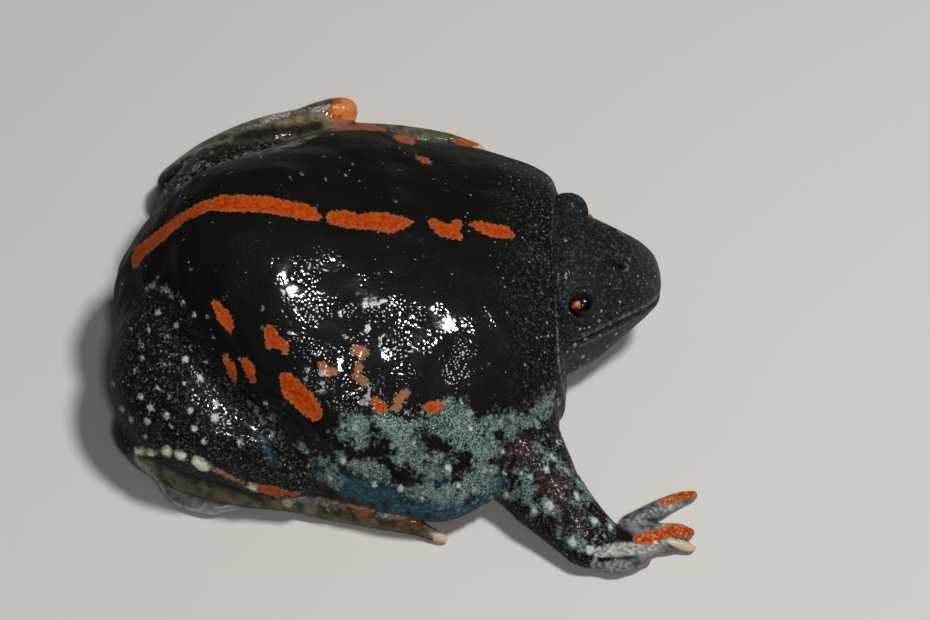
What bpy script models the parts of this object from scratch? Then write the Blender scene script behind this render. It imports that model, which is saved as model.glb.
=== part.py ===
"""A Mexican burrowing toad at life size, still, resting on its belly with its hind feet folded
along its flanks. +X points out of the snout, +Y to the toad's left and +Z up. The origin is on
the ground under the middle of the belly. Sizes are in millimetres and become metres through MM."""

import math

import bmesh
import bpy
import numpy as np
from mathutils import Vector

MM = 0.001

# Sizes that drive the whole toad
GAP = 0.3
TORSO_RINGS = 38
TORSO_SIDES = 42
HEAD_RINGS = 24
HEAD_SIDES = 36
LIMB_SIDES = 16
DIGIT_SIDES = 8

# Torso sections from the rump to the collar: x, middle y, half width, lowest z, widest z, top z,
# and the fullness of the upper half of the section (2 is an ellipse, less is more like a tent).
# The left flank bulges more than the right one, as lungs and loose skin settle in a resting toad.
TORSO = (
    (-28.2, 0.0, 0.0, 11.0, 11.0, 11.0, 2.0),
    (-27.6, 0.0, 6.0, 6.5, 10.5, 16.0, 2.0),
    (-24.7, 0.0, 11.0, 2.4, 9.5, 21.4, 2.0),
    (-20.6, 0.0, 15.2, 0.2, 8.6, 26.2, 2.0),
    (-15.5, 0.0, 19.8, -0.9, 7.6, 30.2, 1.95),
    (-9.0, -0.6, 24.2, -0.9, 6.6, 31.0, 1.9),
    (-1.0, 0.1, 29.2, -0.9, 5.8, 29.3, 1.85),
    (4.0, 0.7, 31.6, -0.9, 5.4, 27.6, 1.85),
    (7.5, 0.4, 32.6, -0.9, 5.2, 26.8, 1.85),
    (11.0, -0.6, 32.4, -0.9, 5.2, 26.0, 1.8),
    (14.0, -1.6, 31.7, -0.9, 5.2, 25.4, 1.8),
    (19.8, -1.2, 29.3, -0.6, 5.6, 24.0, 1.85),
    (25.0, -0.4, 25.0, 0.0, 6.4, 22.3, 1.95),
    (28.7, 0.2, 21.2, 0.8, 7.6, 20.9, 2.0),
    (30.7, 1.0, 17.4, 2.0, 9.0, 19.5, 2.0),
    (31.4, 0.8, 9.0, 5.0, 10.4, 16.6, 2.0),
    (31.6, 0.8, 0.0, 11.0, 11.0, 11.0, 2.0),
)
TORSO_LOW_FULLNESS = 2.1

# The collar is slanted: it lies further forward on the left, and again low on the right
COLLAR_SLANT = 0.12
COLLAR_TURN_Y = -9.0
COLLAR_TURN = 0.34
COLLAR_FROM_X = 13.0
COLLAR_FULL_X = 27.0

# Head sections from inside the collar to the snout, in the same order
HEAD = (
    (18.5, 0.0, 0.0, 10.0, 10.0, 10.0, 2.2),
    (20.5, 0.0, 9.0, 4.0, 8.6, 16.6, 2.2),
    (27.0, 0.4, 12.1, 1.2, 7.6, 19.8, 2.3),
    (31.5, 0.6, 12.0, 1.3, 7.8, 19.6, 2.3),
    (35.0, 0.8, 10.7, 2.2, 8.3, 18.8, 2.3),
    (38.5, 0.8, 8.7, 3.9, 9.2, 17.4, 2.25),
    (41.5, 0.8, 6.7, 5.8, 10.1, 15.8, 2.2),
    (43.7, 0.8, 5.0, 7.2, 10.6, 14.4, 2.2),
    (44.9, 0.8, 3.2, 8.8, 10.8, 13.2, 2.2),
    (45.3, 0.8, 0.0, 10.9, 10.9, 10.9, 2.2),
)
HEAD_LOW_FULLNESS = 2.1
MOUTH_CORNER_X = 32.2
MOUTH_CORNER_Z = 11.9
MOUTH_SNOUT_X = 45.0
MOUTH_SNOUT_Z = 10.7
MOUTH_CURVE = 0.4
LIP_RADIUS = 0.62

# Eyes, lids and nostrils; the upper lid of the left eye is drawn down over most of it
EYE_RADIUS = 2.15
EYE_AT = {"right": (33.7, -7.2, 15.5), "left": (33.8, 9.4, 15.6)}
EYE_LOOKS = {"right": (0.30, -0.66, 0.69), "left": (0.30, 0.84, 0.45)}
LID_RADIUS = 2.95
LID_OPENING = (1.72, 1.42)
NOSTRIL_AT = {"right": (39.6, -1.8, 16.3), "left": (39.6, 3.4, 16.3)}
NOSTRIL_LOOKS = {"right": (0.25, -0.75, 0.60), "left": (0.25, 0.75, 0.60)}
NOSTRIL_RIM = 1.15
NOSTRIL_PIT = 0.42

# Limbs: rows of x, y, z, half breadth and half height along each one
FRONT_LEG = {
    "right": ((20.6, -15.0, 8.5, 7.2, 6.2), (23.6, -23.0, 6.4, 6.2, 5.4), (26.9, -29.8, 5.0, 5.0, 4.4),
              (30.3, -34.4, 3.7, 4.2, 3.4), (32.8, -37.2, 2.8, 3.9, 2.6)),
    "left": ((17.5, 12.0, 8.0, 6.6, 6.2), (22.5, 15.6, 6.2, 6.0, 5.2), (27.0, 16.6, 4.6, 4.6, 3.9),
             (30.2, 16.6, 3.1, 3.8, 2.8)),
}
PALM = {
    "right": ((32.6, -36.6, 2.4, 3.2, 2.0), (35.2, -37.6, 1.9, 3.7, 1.8), (37.8, -36.4, 1.5, 3.2, 1.4)),
    "left": ((29.4, 16.6, 2.6, 2.8, 1.9), (31.8, 16.9, 1.8, 3.2, 1.7), (33.6, 17.1, 1.4, 2.9, 1.3)),
}
FINGERS = {
    "right": (
        ((37.4, -33.4, 1.3), (41.2, -31.4, 1.25), (44.4, -29.7, 1.05), (46.7, -28.8, 0.75)),
        ((37.8, -35.6, 1.3), (41.4, -35.0, 1.2), (43.8, -34.6, 1.0), (45.4, -35.0, 0.75)),
        ((37.6, -37.0, 1.3), (41.0, -36.7, 1.15), (43.4, -36.8, 0.95), (45.2, -37.4, 0.7)),
        ((36.2, -38.2, 1.3), (37.4, -38.7, 1.15), (38.4, -38.9, 1.0), (39.2, -38.8, 0.75)),
    ),
    "left": (
        ((32.8, 15.6, 1.2), (35.8, 14.4, 1.15), (38.2, 13.6, 1.0), (40.2, 13.4, 0.7)),
        ((33.2, 16.9, 1.2), (36.4, 17.0, 1.15), (38.8, 17.2, 1.0), (40.6, 17.6, 0.7)),
        ((33.0, 18.1, 1.2), (35.2, 19.4, 1.15), (36.9, 20.4, 1.0), (38.3, 21.2, 0.7)),
        ((32.2, 19.0, 1.2), (33.2, 20.6, 1.1), (33.9, 21.8, 0.95), (34.4, 22.8, 0.7)),
    ),
}
FINGER_RADII = (1.35, 1.25, 1.0, 0.75)
THIGH = {
    "right": ((-16.8, -4.0, 15.2, 8.0, 8.5), (-20.2, -10.6, 12.0, 8.9, 9.0), (-18.6, -16.2, 10.8, 8.4, 7.8),
              (-11.0, -22.0, 9.2, 6.0, 6.2), (-5.5, -25.0, 7.4, 4.2, 4.4)),
    "left": ((-16.0, 5.0, 13.0, 8.0, 8.6), (-16.6, 15.0, 10.4, 8.4, 8.4), (-12.6, 22.6, 8.8, 7.4, 7.2),
             (-4.5, 26.2, 7.4, 5.6, 5.4)),
}
SHANK = {
    "right": ((-5.0, -24.0, 5.0, 3.0, 3.4), (-11.5, -21.2, 5.4, 3.8, 3.8), (-18.5, -17.2, 5.6, 4.4, 4.0),
              (-25.4, -15.4, 5.6, 4.0, 3.8)),
    "left": ((-4.0, 29.8, 4.8, 3.4, 3.8), (-9.6, 30.4, 5.2, 4.2, 4.2), (-15.2, 28.6, 5.2, 4.4, 4.0),
             (-19.4, 26.4, 4.8, 4.0, 3.6)),
}
FOOT = {
    "right": ((-25.0, -17.7, 3.7, 2.4, 2.8), (-18.8, -21.0, 3.4, 3.5, 3.2), (-12.4, -23.5, 3.1, 3.3, 2.9),
              (-7.0, -25.0, 2.6, 2.5, 2.4), (-2.4, -26.7, 1.8, 2.1, 1.6)),
    "left": ((-20.0, 29.8, 3.8, 2.6, 2.8), (-14.0, 34.0, 3.6, 3.5, 3.1), (-7.5, 37.8, 3.2, 3.6, 2.8),
             (-1.5, 40.1, 2.5, 3.5, 2.2), (3.4, 40.8, 1.7, 2.9, 1.4)),
}
TOES = {
    "right": (
        ((-8.0, -23.6, 1.4), (-4.0, -23.4, 1.2), (-1.4, -23.2, 1.0), (0.4, -23.2, 0.8)),
        ((-4.0, -25.6, 1.5), (0.6, -25.4, 1.2), (3.6, -25.6, 1.0), (5.6, -26.0, 0.8)),
        ((-3.0, -27.0, 1.5), (3.0, -27.8, 1.3), (7.0, -28.8, 1.1), (10.0, -29.9, 0.8)),
        ((-2.6, -27.3, 1.5), (4.4, -29.5, 1.3), (9.8, -31.3, 1.1), (13.1, -33.1, 0.8)),
        ((-11.0, -24.8, 3.4), (-9.4, -25.7, 3.3), (-8.0, -26.4, 3.1), (-6.9, -26.9, 2.9)),
    ),
    "left": (
        ((-4.0, 35.8, 1.4), (0.4, 34.8, 1.2), (3.2, 34.4, 1.0), (5.2, 34.4, 0.8)),
        ((0.4, 37.8, 1.5), (6.0, 36.4, 1.3), (9.8, 35.6, 1.1), (12.2, 35.0, 0.8)),
        ((2.0, 39.2, 1.5), (9.0, 37.8, 1.4), (14.2, 36.4, 1.2), (17.8, 35.2, 0.8)),
        ((3.0, 40.4, 1.6), (11.6, 39.3, 1.6), (19.0, 37.6, 1.4), (24.2, 35.6, 0.9)),
        ((-2.0, 42.0, 2.3), (1.2, 42.9, 2.4), (3.4, 43.3, 2.4), (5.0, 43.5, 2.3)),
    ),
}
TOE_RADII = (1.3, 1.2, 1.0, 0.75)
OUTER_TOE_RADII = {"right": (1.3, 1.2, 1.0, 0.8), "left": (1.6, 1.9, 2.05, 2.0)}
WEB_LOW = 0.35
WEB_THICK = 0.8
WEB_REACH = (0.55, 0.62, 0.62, 0.55)
SPADE = {
    "right": ((-23.8, -20.5, 1.4, 0.5, 0.7), (-21.0, -23.3, 1.2, 1.5, 1.15), (-17.4, -25.0, 1.2, 1.6, 1.15),
              (-13.6, -26.0, 1.4, 0.5, 0.7)),
    "left": ((-20.6, 31.8, 1.4, 0.5, 0.7), (-17.4, 35.2, 1.2, 1.5, 1.15), (-13.0, 37.9, 1.2, 1.6, 1.15),
             (-8.6, 40.0, 1.4, 0.5, 0.7)),
}

# Colour, roughness and metallic value of each part
SKIN_BLACK = ((0.022, 0.018, 0.020, 1.0), 0.28, 0.0)
HEAD_GREY = ((0.040, 0.036, 0.038, 1.0), 0.32, 0.0)
LEG_BLACK = ((0.026, 0.026, 0.032, 1.0), 0.30, 0.0)
FOOT_ORANGE = ((0.36, 0.13, 0.05, 1.0), 0.35, 0.0)
EYE_DARK = ((0.030, 0.012, 0.008, 1.0), 0.08, 0.0)
SPADE_HORN = ((0.16, 0.18, 0.20, 1.0), 0.30, 0.0)


def clear_scene():
    for old in list(bpy.data.objects):
        bpy.data.objects.remove(old, do_unlink=True)


def through(rows, count):
    """Rows spaced evenly along a smooth line through the given rows, with no overshoot between them."""
    rows = np.array(rows, float)
    steps = np.maximum(np.linalg.norm(np.diff(rows[:, :6], axis=0), axis=1), 1e-6)
    along = np.concatenate([[0.0], np.cumsum(steps)])
    rise = np.diff(rows, axis=0) / steps[:, None]
    slope = np.zeros_like(rows)
    slope[0] = rise[0]
    slope[-1] = rise[-1]
    for i in range(1, len(rows) - 1):
        same = rise[i - 1] * rise[i] > 0
        both = np.where(same, rise[i - 1] + rise[i], 1.0)
        slope[i] = np.where(same, 2.0 * rise[i - 1] * rise[i] / both, 0.0)
    at = np.linspace(0.0, along[-1], count)
    k = np.clip(np.searchsorted(along, at, side="right") - 1, 0, len(steps) - 1)
    h = steps[k][:, None]
    t = ((at - along[k]) / steps[k])[:, None]
    return (
        rows[k] * (1 + 2 * t) * (1 - t) ** 2
        + rows[k + 1] * t * t * (3 - 2 * t)
        + slope[k] * h * t * (1 - t) ** 2
        - slope[k + 1] * h * t * t * (1 - t)
    )


def mesh_from(name, points, faces):
    """A closed mesh object from points in millimetres, with its faces turned outwards."""
    mesh = bpy.data.meshes.new(name)
    mesh.from_pydata([tuple(MM * float(c) for c in point) for point in points], [], faces)
    shape = bmesh.new()
    shape.from_mesh(mesh)
    bmesh.ops.recalc_face_normals(shape, faces=shape.faces)
    if shape.calc_volume(signed=True) < 0:
        bmesh.ops.reverse_faces(shape, faces=shape.faces)
    shape.to_mesh(mesh)
    shape.free()
    made = bpy.data.objects.new(name, mesh)
    bpy.context.collection.objects.link(made)
    return made


def loft(name, rings, first, last):
    """Skins a list of equal rings of points and closes each end on a point."""
    sides = len(rings[0])
    points = [first] + [point for ring in rings for point in ring] + [last]
    faces = []
    for i in range(len(rings) - 1):
        for j in range(sides):
            a = 1 + i * sides + j
            b = 1 + i * sides + (j + 1) % sides
            faces.append((a, b, b + sides, a + sides))
    end = len(points) - 1
    for j in range(sides):
        faces.append((0, 1 + (j + 1) % sides, 1 + j))
        faces.append((end, end - sides + j, end - sides + (j + 1) % sides))
    return mesh_from(name, points, faces)


def section(row, sides, low_fullness):
    """One ring across the body: x, middle y, half width, lowest, widest and top z, upper fullness."""
    x, middle, half, low, wide, top, fullness = row
    ring = []
    for j in range(sides):
        turn = 2.0 * math.pi * (j + 0.5) / sides
        c = math.cos(turn)
        s = math.sin(turn)
        full = fullness if s > 0 else low_fullness
        reach = (top - wide) if s > 0 else (wide - low)
        y = middle + half * math.copysign(abs(c) ** (2.0 / full), c)
        z = wide + reach * math.copysign(abs(s) ** (2.0 / full), s)
        ring.append((x, y, z))
    return ring


def slanted(point):
    """Moves a point of the torso along the body so that the collar is slanted like the real one."""
    x, y, z = point
    share = min(max((x - COLLAR_FROM_X) / (COLLAR_FULL_X - COLLAR_FROM_X), 0.0), 1.0)
    turn = math.log1p(math.exp((COLLAR_TURN_Y - y) / 1.5)) * 1.5
    shift = COLLAR_SLANT * y + COLLAR_TURN * min(turn, 8.0)
    return (x + shift * share * share * (3.0 - 2.0 * share), y, z)


def body_loft(name, stations, rings, sides, low_fullness, move=tuple):
    rows = through(stations, rings + 2)
    skins = [[move(point) for point in section(row, sides, low_fullness)] for row in rows[1:-1]]
    first = move((rows[0][0], rows[0][1], rows[0][4]))
    last = move((rows[-1][0], rows[-1][1], rows[-1][4]))
    return loft(name, skins, first, last)


def limb(name, joints, sides, count=12, dome=4):
    """A round limb or digit through its joints, with a domed end at each side."""
    rows = through(joints, count)
    places = [Vector(row[:3]) for row in rows]
    rings = []

    def ring(at, ahead, breadth, height):
        across = ahead.cross(Vector((0, 0, 1))).normalized()
        up = across.cross(ahead).normalized()
        made = []
        for j in range(sides):
            turn = 2.0 * math.pi * j / sides
            made.append(at + across * (breadth * math.cos(turn)) + up * (height * math.sin(turn)))
        return made

    first_way = (places[1] - places[0]).normalized()
    last_way = (places[-1] - places[-2]).normalized()
    for step in range(dome, 0, -1):
        lean = 0.5 * math.pi * step / (dome + 1)
        back = min(rows[0][3], rows[0][4]) * math.sin(lean)
        size = math.cos(lean)
        rings.append(ring(places[0] - first_way * back, first_way, rows[0][3] * size, rows[0][4] * size))
    for i, at in enumerate(places):
        before = places[max(i - 1, 0)]
        after = places[min(i + 1, len(places) - 1)]
        rings.append(ring(at, (after - before).normalized(), rows[i][3], rows[i][4]))
    for step in range(1, dome + 1):
        lean = 0.5 * math.pi * step / (dome + 1)
        forth = min(rows[-1][3], rows[-1][4]) * math.sin(lean)
        size = math.cos(lean)
        rings.append(ring(places[-1] + last_way * forth, last_way, rows[-1][3] * size, rows[-1][4] * size))
    start = places[0] - first_way * min(rows[0][3], rows[0][4])
    end = places[-1] + last_way * min(rows[-1][3], rows[-1][4])
    return loft(name, rings, start, end)


def ball(name, centre, radius, rings=12, sides=16):
    mesh = bpy.data.meshes.new(name)
    shape = bmesh.new()
    bmesh.ops.create_uvsphere(shape, u_segments=sides, v_segments=rings, radius=radius * MM)
    bmesh.ops.translate(shape, verts=shape.verts, vec=Vector(centre) * MM)
    shape.to_mesh(mesh)
    shape.free()
    made = bpy.data.objects.new(name, mesh)
    bpy.context.collection.objects.link(made)
    return made


def block(name, low, high):
    corners = [(x, y, z) for x in (low[0], high[0]) for y in (low[1], high[1]) for z in (low[2], high[2])]
    faces = [(0, 1, 3, 2), (4, 6, 7, 5), (0, 4, 5, 1), (2, 3, 7, 6), (0, 2, 6, 4), (1, 5, 7, 3)]
    return mesh_from(name, corners, faces)


def grown(source, by=GAP):
    """A copy of a solid that is larger by a small distance on every side."""
    mesh = source.data.copy()
    shape = bmesh.new()
    shape.from_mesh(mesh)
    shape.normal_update()
    for vertex in shape.verts:
        vertex.co += vertex.normal * (by * MM)
    shape.to_mesh(mesh)
    shape.free()
    made = bpy.data.objects.new(source.name + "_grown", mesh)
    bpy.context.collection.objects.link(made)
    return made


def keep_largest(target):
    """Keeps the largest closed surface of a mesh and drops loose scraps and sealed hollows."""
    shape = bmesh.new()
    shape.from_mesh(target.data)
    left = set(shape.faces)
    groups = []
    while left:
        queue = [left.pop()]
        group = set(queue)
        while queue:
            face = queue.pop()
            for edge in face.edges:
                for other in edge.link_faces:
                    if other in left:
                        left.discard(other)
                        group.add(other)
                        queue.append(other)
        groups.append(group)
    groups.sort(key=lambda group: sum(face.calc_area() for face in group))
    for group in groups[:-1]:
        bmesh.ops.delete(shape, geom=list(group), context="FACES")
    loose = [vertex for vertex in shape.verts if not vertex.link_faces]
    bmesh.ops.delete(shape, geom=loose, context="VERTS")
    shape.to_mesh(target.data)
    shape.free()


def boolean(target, others, operation, solver="MANIFOLD"):
    """One Boolean of a solid with a collection of closed solids, applied, with the collection removed."""
    group = bpy.data.collections.new("operands")
    bpy.context.scene.collection.children.link(group)
    for other in others:
        for home in list(other.users_collection):
            home.objects.unlink(other)
        group.objects.link(other)
    change = target.modifiers.new("join" if operation == "UNION" else "cut", "BOOLEAN")
    change.operation = operation
    change.operand_type = "COLLECTION"
    change.collection = group
    change.solver = solver
    bpy.context.view_layer.update()
    graph = bpy.context.evaluated_depsgraph_get()
    result = bpy.data.meshes.new_from_object(target.evaluated_get(graph))
    target.modifiers.clear()
    spent = target.data
    target.data = result
    bpy.data.meshes.remove(spent)
    for other in list(group.objects):
        bpy.data.objects.remove(other, do_unlink=True)
    bpy.data.collections.remove(group)
    keep_largest(target)


def tidy_slivers(target):
    """Folds away faces thinner than a few thousandths of a millimetre that a cut leaves."""
    shape = bmesh.new()
    shape.from_mesh(target.data)
    bmesh.ops.triangulate(shape, faces=shape.faces)
    bmesh.ops.dissolve_degenerate(shape, edges=shape.edges, dist=0.002 * MM)
    bmesh.ops.triangulate(shape, faces=shape.faces)
    shape.to_mesh(target.data)
    shape.free()
    keep_largest(target)


def finish(node, look):
    """Names the mesh, gives the part its own material and shades it smooth."""
    tidy_slivers(node)
    colour, roughness, metallic = look
    node.data.name = node.name
    node.data.materials.clear()
    material = bpy.data.materials.new(node.name)
    material.use_nodes = True
    shader = material.node_tree.nodes["Principled BSDF"]
    shader.inputs["Base Color"].default_value = colour
    shader.inputs["Roughness"].default_value = roughness
    shader.inputs["Metallic"].default_value = metallic
    material.diffuse_color = colour
    node.data.materials.append(material)
    node.data.shade_smooth()
    node.data.set_sharp_from_angle(angle=math.radians(50))


def ground():
    return block("ground", (-60, -70, -30), (70, 70, 0))


def mouth_height(x):
    """Height of the line of the mouth, which sinks a little from its corner to the snout."""
    t = (x - MOUTH_CORNER_X) / (MOUTH_SNOUT_X - MOUTH_CORNER_X)
    bend = MOUTH_CURVE * math.sin(math.pi * min(max(t, 0), 1))
    return MOUTH_CORNER_Z + (MOUTH_SNOUT_Z - MOUTH_CORNER_Z) * t + bend


def lip(name, above, radius):
    """A rounded ridge that follows the head's side and snout beside the line of the mouth."""
    rows = through(HEAD, 400)
    xs = rows[:, 0]

    def half_width(x):
        low, wide, top, full = (np.interp(x, xs, rows[:, k]) for k in (3, 4, 5, 6))
        z = mouth_height(x) + above
        reach = (top - wide) if z > wide else (wide - low)
        full = full if z > wide else HEAD_LOW_FULLNESS
        left = 1.0 - (abs(z - wide) / max(reach, 1e-6)) ** full
        return float(np.interp(x, xs, rows[:, 2])) * max(left, 0.0) ** (1.0 / full)

    tip = MOUTH_CORNER_X
    while half_width(tip + 0.02) > 0.05 and tip < MOUTH_SNOUT_X:
        tip += 0.02
    start = MOUTH_CORNER_X - 3.5
    line = []
    for k in range(25):
        u = -1.0 + 2.0 * k / 24
        x = tip - (tip - start) * u * u
        middle = float(np.interp(x, xs, rows[:, 1]))
        y = middle + math.copysign(max(half_width(x) - 0.45 * radius, 0.0), u)
        line.append((x - 0.25 * radius, y, mouth_height(x) + above, radius, radius))
    return limb(name, line, 8, count=30, dome=2)


def mouth_block(name, below, offset):
    """A block that fills everything on one side of the line of the mouth."""
    far = -40 if below else 60
    low_side = []
    for k in range(15):
        x = 15.0 + (55.0 - 15.0) * k / 14
        low_side.append((x, mouth_height(x) + offset))
    points = []
    for y in (-40, 40):
        points += [(x, y, z) for x, z in low_side]
        points += [(x, y, far) for x, z in low_side]
    count = len(low_side)
    faces = []
    for k in range(count - 1):
        faces.append((k, k + 1, 2 * count + k + 1, 2 * count + k))
        faces.append((count + k, 3 * count + k, 3 * count + k + 1, count + k + 1))
        faces.append((k, count + k, count + k + 1, k + 1))
        faces.append((2 * count + k, 2 * count + k + 1, 3 * count + k + 1, 3 * count + k))
    for k in (0, count - 1):
        faces.append((k, 2 * count + k, 3 * count + k, count + k))
    return mesh_from(name, points, faces)


def cone_along(name, base, way, reach, radii_from, radii_to, sides=16):
    """A straight elliptical cone, used to open the lids and the nostrils."""
    across = Vector((way[1], -way[0], 0)).normalized()
    up = across.cross(way).normalized()
    rings = []
    for k in range(2):
        at = base + way * (reach * k)
        breadth, height = (radii_from, radii_to)[k]
        ring = []
        for j in range(sides):
            turn = 2.0 * math.pi * j / sides
            ring.append(at + across * (breadth * math.cos(turn)) + up * (height * math.sin(turn)))
        rings.append(ring)
    return loft(name, rings, base, base + way * reach)


def make_torso():
    """The trunk, flat underneath, with a shallow hollow in the collar where the left eye lies."""
    torso = body_loft("torso", TORSO, TORSO_RINGS, TORSO_SIDES, TORSO_LOW_FULLNESS, slanted)
    rooms = [ball("eye_room", EYE_AT[side], EYE_RADIUS + 1.2 * GAP) for side in ("right", "left")]
    boolean(torso, [ground()] + rooms, "DIFFERENCE")
    return torso


def make_head(torso):
    """The whole head in front of the collar, then parted along the line of the mouth."""
    head = body_loft("head", HEAD, HEAD_RINGS, HEAD_SIDES, HEAD_LOW_FULLNESS)
    raised = [lip("upper_lip", 0.75, LIP_RADIUS), lip("lower_lip", -0.75, 0.9 * LIP_RADIUS)]
    cuts = [grown(torso)]
    eyes = []
    for side in ("right", "left"):
        eye = Vector(EYE_AT[side])
        looks = Vector(EYE_LOOKS[side]).normalized()
        nostril = Vector(NOSTRIL_AT[side])
        way = Vector(NOSTRIL_LOOKS[side]).normalized()
        raised.append(ball("lid", eye, LID_RADIUS))
        raised.append(ball("nostril_rim", nostril - way * 0.95, NOSTRIL_RIM, 8, 12))
        cuts.append(ball("socket", eye, EYE_RADIUS + GAP))
        opening = (LID_OPENING, (1.5 * LID_OPENING[0], 1.5 * LID_OPENING[1]))
        cuts.append(cone_along("lid_opening", eye + looks * 1.4, looks, 3.0, *opening))
        pit = nostril - way * 0.9
        cuts.append(cone_along("nostril_pit", pit, way, 2.2, (NOSTRIL_PIT,) * 2, (1.7 * NOSTRIL_PIT,) * 2, 10))
        made = ball("eye_" + side, eye, EYE_RADIUS)
        eyes.append(made)
    boolean(head, raised, "UNION")
    boolean(head, cuts, "DIFFERENCE")
    jaw = bpy.data.objects.new("lower_jaw", head.data.copy())
    bpy.context.collection.objects.link(jaw)
    boolean(head, [mouth_block("below", True, 0.5 * GAP)], "DIFFERENCE")
    boolean(jaw, [mouth_block("above", False, -0.5 * GAP)], "DIFFERENCE")
    return head, jaw, eyes


def web(name, lines, reach):
    """A flat web between two digits, with a hollowed front edge."""
    one = [Vector(point) for point in lines[0]]
    two = [Vector(point) for point in lines[1]]

    def along(points, share):
        place = share * (len(points) - 1)
        k = min(int(place), len(points) - 2)
        return points[k].lerp(points[k + 1], place - k)

    side_one = [along(one, reach * k / 6) for k in range(7)]
    side_two = [along(two, reach * k / 6) for k in range(7)]
    front = []
    for k in range(1, 6):
        t = k / 6
        edge = side_one[-1].lerp(side_two[-1], t)
        root = side_one[2].lerp(side_two[2], t)
        front.append(edge.lerp(root, 0.75 * math.sin(math.pi * t)))
    outline = side_one + front + list(reversed(side_two))
    count = len(outline)
    points = [(p.x, p.y, WEB_LOW) for p in outline] + [(p.x, p.y, WEB_LOW + WEB_THICK) for p in outline]
    faces = [tuple(range(count)), tuple(range(2 * count - 1, count - 1, -1))]
    for k in range(count):
        after = (k + 1) % count
        faces.append((k, after, after + count, k + count))
    return mesh_from(name, points, faces)


def digits(name, lines, radii, outer_radii=None):
    made = []
    for n, line in enumerate(lines):
        sizes = outer_radii if outer_radii and n == len(lines) - 1 else radii
        joints = [tuple(point) + (radius, radius) for point, radius in zip(line, sizes)]
        made.append(limb(name + str(n + 1), joints, DIGIT_SIDES, count=7, dome=2))
    return made


def make_hand(side, arm):
    hand = limb("hand_" + side, PALM[side], 14, count=8, dome=3)
    pieces = digits("finger", FINGERS[side], FINGER_RADII)
    for n in range(3):
        pieces.append(web("web", FINGERS[side][n:n + 2], 0.5))
    boolean(hand, pieces, "UNION")
    boolean(hand, [grown(arm), ground()], "DIFFERENCE")
    return hand


def make_foot(side, others):
    foot = limb("foot_" + side, FOOT[side], 16, count=12, dome=3)
    pieces = digits("toe", TOES[side], TOE_RADII, OUTER_TOE_RADII[side])
    for n in range(3):
        pieces.append(web("web", TOES[side][n:n + 2], WEB_REACH[n]))
    boolean(foot, pieces, "UNION")
    boolean(foot, [grown(other) for other in others] + [ground()], "DIFFERENCE")
    return foot


def main():
    clear_scene()
    torso = make_torso()
    head, jaw, eyes = make_head(torso)
    looks = {torso: SKIN_BLACK, head: HEAD_GREY, jaw: HEAD_GREY}
    for eye in eyes:
        looks[eye] = EYE_DARK
    for side in ("right", "left"):
        arm = limb("front_leg_" + side, FRONT_LEG[side], LIMB_SIDES, count=14)
        boolean(arm, [grown(torso), grown(head), grown(jaw), ground()], "DIFFERENCE")
        hand = make_hand(side, arm)
        thigh = limb("thigh_" + side, THIGH[side], LIMB_SIDES + 4, count=16)
        boolean(thigh, [grown(torso), ground()], "DIFFERENCE")
        shank = limb("shank_" + side, SHANK[side], LIMB_SIDES, count=14)
        boolean(shank, [grown(torso), grown(thigh), ground()], "DIFFERENCE")
        foot = make_foot(side, [torso, thigh, shank])
        spade = limb("spade_" + side, SPADE[side], 12, count=10, dome=2)
        boolean(spade, [grown(foot), ground()], "DIFFERENCE")
        looks.update({arm: LEG_BLACK, hand: FOOT_ORANGE, thigh: LEG_BLACK, shank: LEG_BLACK})
        looks.update({foot: FOOT_ORANGE, spade: SPADE_HORN})
    for node, look in looks.items():
        finish(node, look)


main()
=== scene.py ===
# %% [markdown]
# # A Mexican burrowing toad at life size
# The model is one still animal, as a museum shows it: a squat black body with an orange stripe,
# a small grey head, and webbed hind feet folded along the flanks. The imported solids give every
# size. This lesson dresses them in one seamless skin, with two eyes and two digging spades of
# their own. All sizes below are in millimetres and turn into Blender's metres through MM.

# %% Load the solids
import itertools
import math

import bmesh
import bpy
import numpy as np
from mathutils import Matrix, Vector
from mathutils.bvhtree import BVHTree


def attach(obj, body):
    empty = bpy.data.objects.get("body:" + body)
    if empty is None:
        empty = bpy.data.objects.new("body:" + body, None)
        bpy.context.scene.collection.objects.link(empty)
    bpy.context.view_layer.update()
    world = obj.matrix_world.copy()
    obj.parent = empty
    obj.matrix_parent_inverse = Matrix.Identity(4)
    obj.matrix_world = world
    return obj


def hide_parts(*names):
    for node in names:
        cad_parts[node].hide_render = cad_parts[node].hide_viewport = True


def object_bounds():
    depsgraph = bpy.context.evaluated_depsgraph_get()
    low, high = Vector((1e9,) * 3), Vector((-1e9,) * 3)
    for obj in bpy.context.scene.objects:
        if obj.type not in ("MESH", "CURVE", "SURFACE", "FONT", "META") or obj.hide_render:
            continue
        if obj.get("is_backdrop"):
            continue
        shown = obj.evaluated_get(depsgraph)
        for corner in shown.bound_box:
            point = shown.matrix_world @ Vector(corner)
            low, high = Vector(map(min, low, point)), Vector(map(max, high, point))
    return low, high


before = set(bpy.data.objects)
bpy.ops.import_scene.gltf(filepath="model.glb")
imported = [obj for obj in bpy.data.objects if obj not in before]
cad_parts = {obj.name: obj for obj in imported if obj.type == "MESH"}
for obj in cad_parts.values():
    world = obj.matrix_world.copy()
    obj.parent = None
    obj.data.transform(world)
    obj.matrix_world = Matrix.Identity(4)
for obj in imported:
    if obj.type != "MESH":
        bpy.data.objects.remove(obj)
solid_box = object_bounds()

MM = 0.001
print("solids:", len(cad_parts), "nodes, box", solid_box)

# %% [markdown]
# ## Camera
# The photograph looks down on the toad's right side from about half a metre, and the toad fills
# most of the width. A long lens at that distance keeps the same slight perspective. The camera is
# placed by the point it aims at, its height angle and its distance, because those three numbers
# are easy to compare with the picture.

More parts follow.
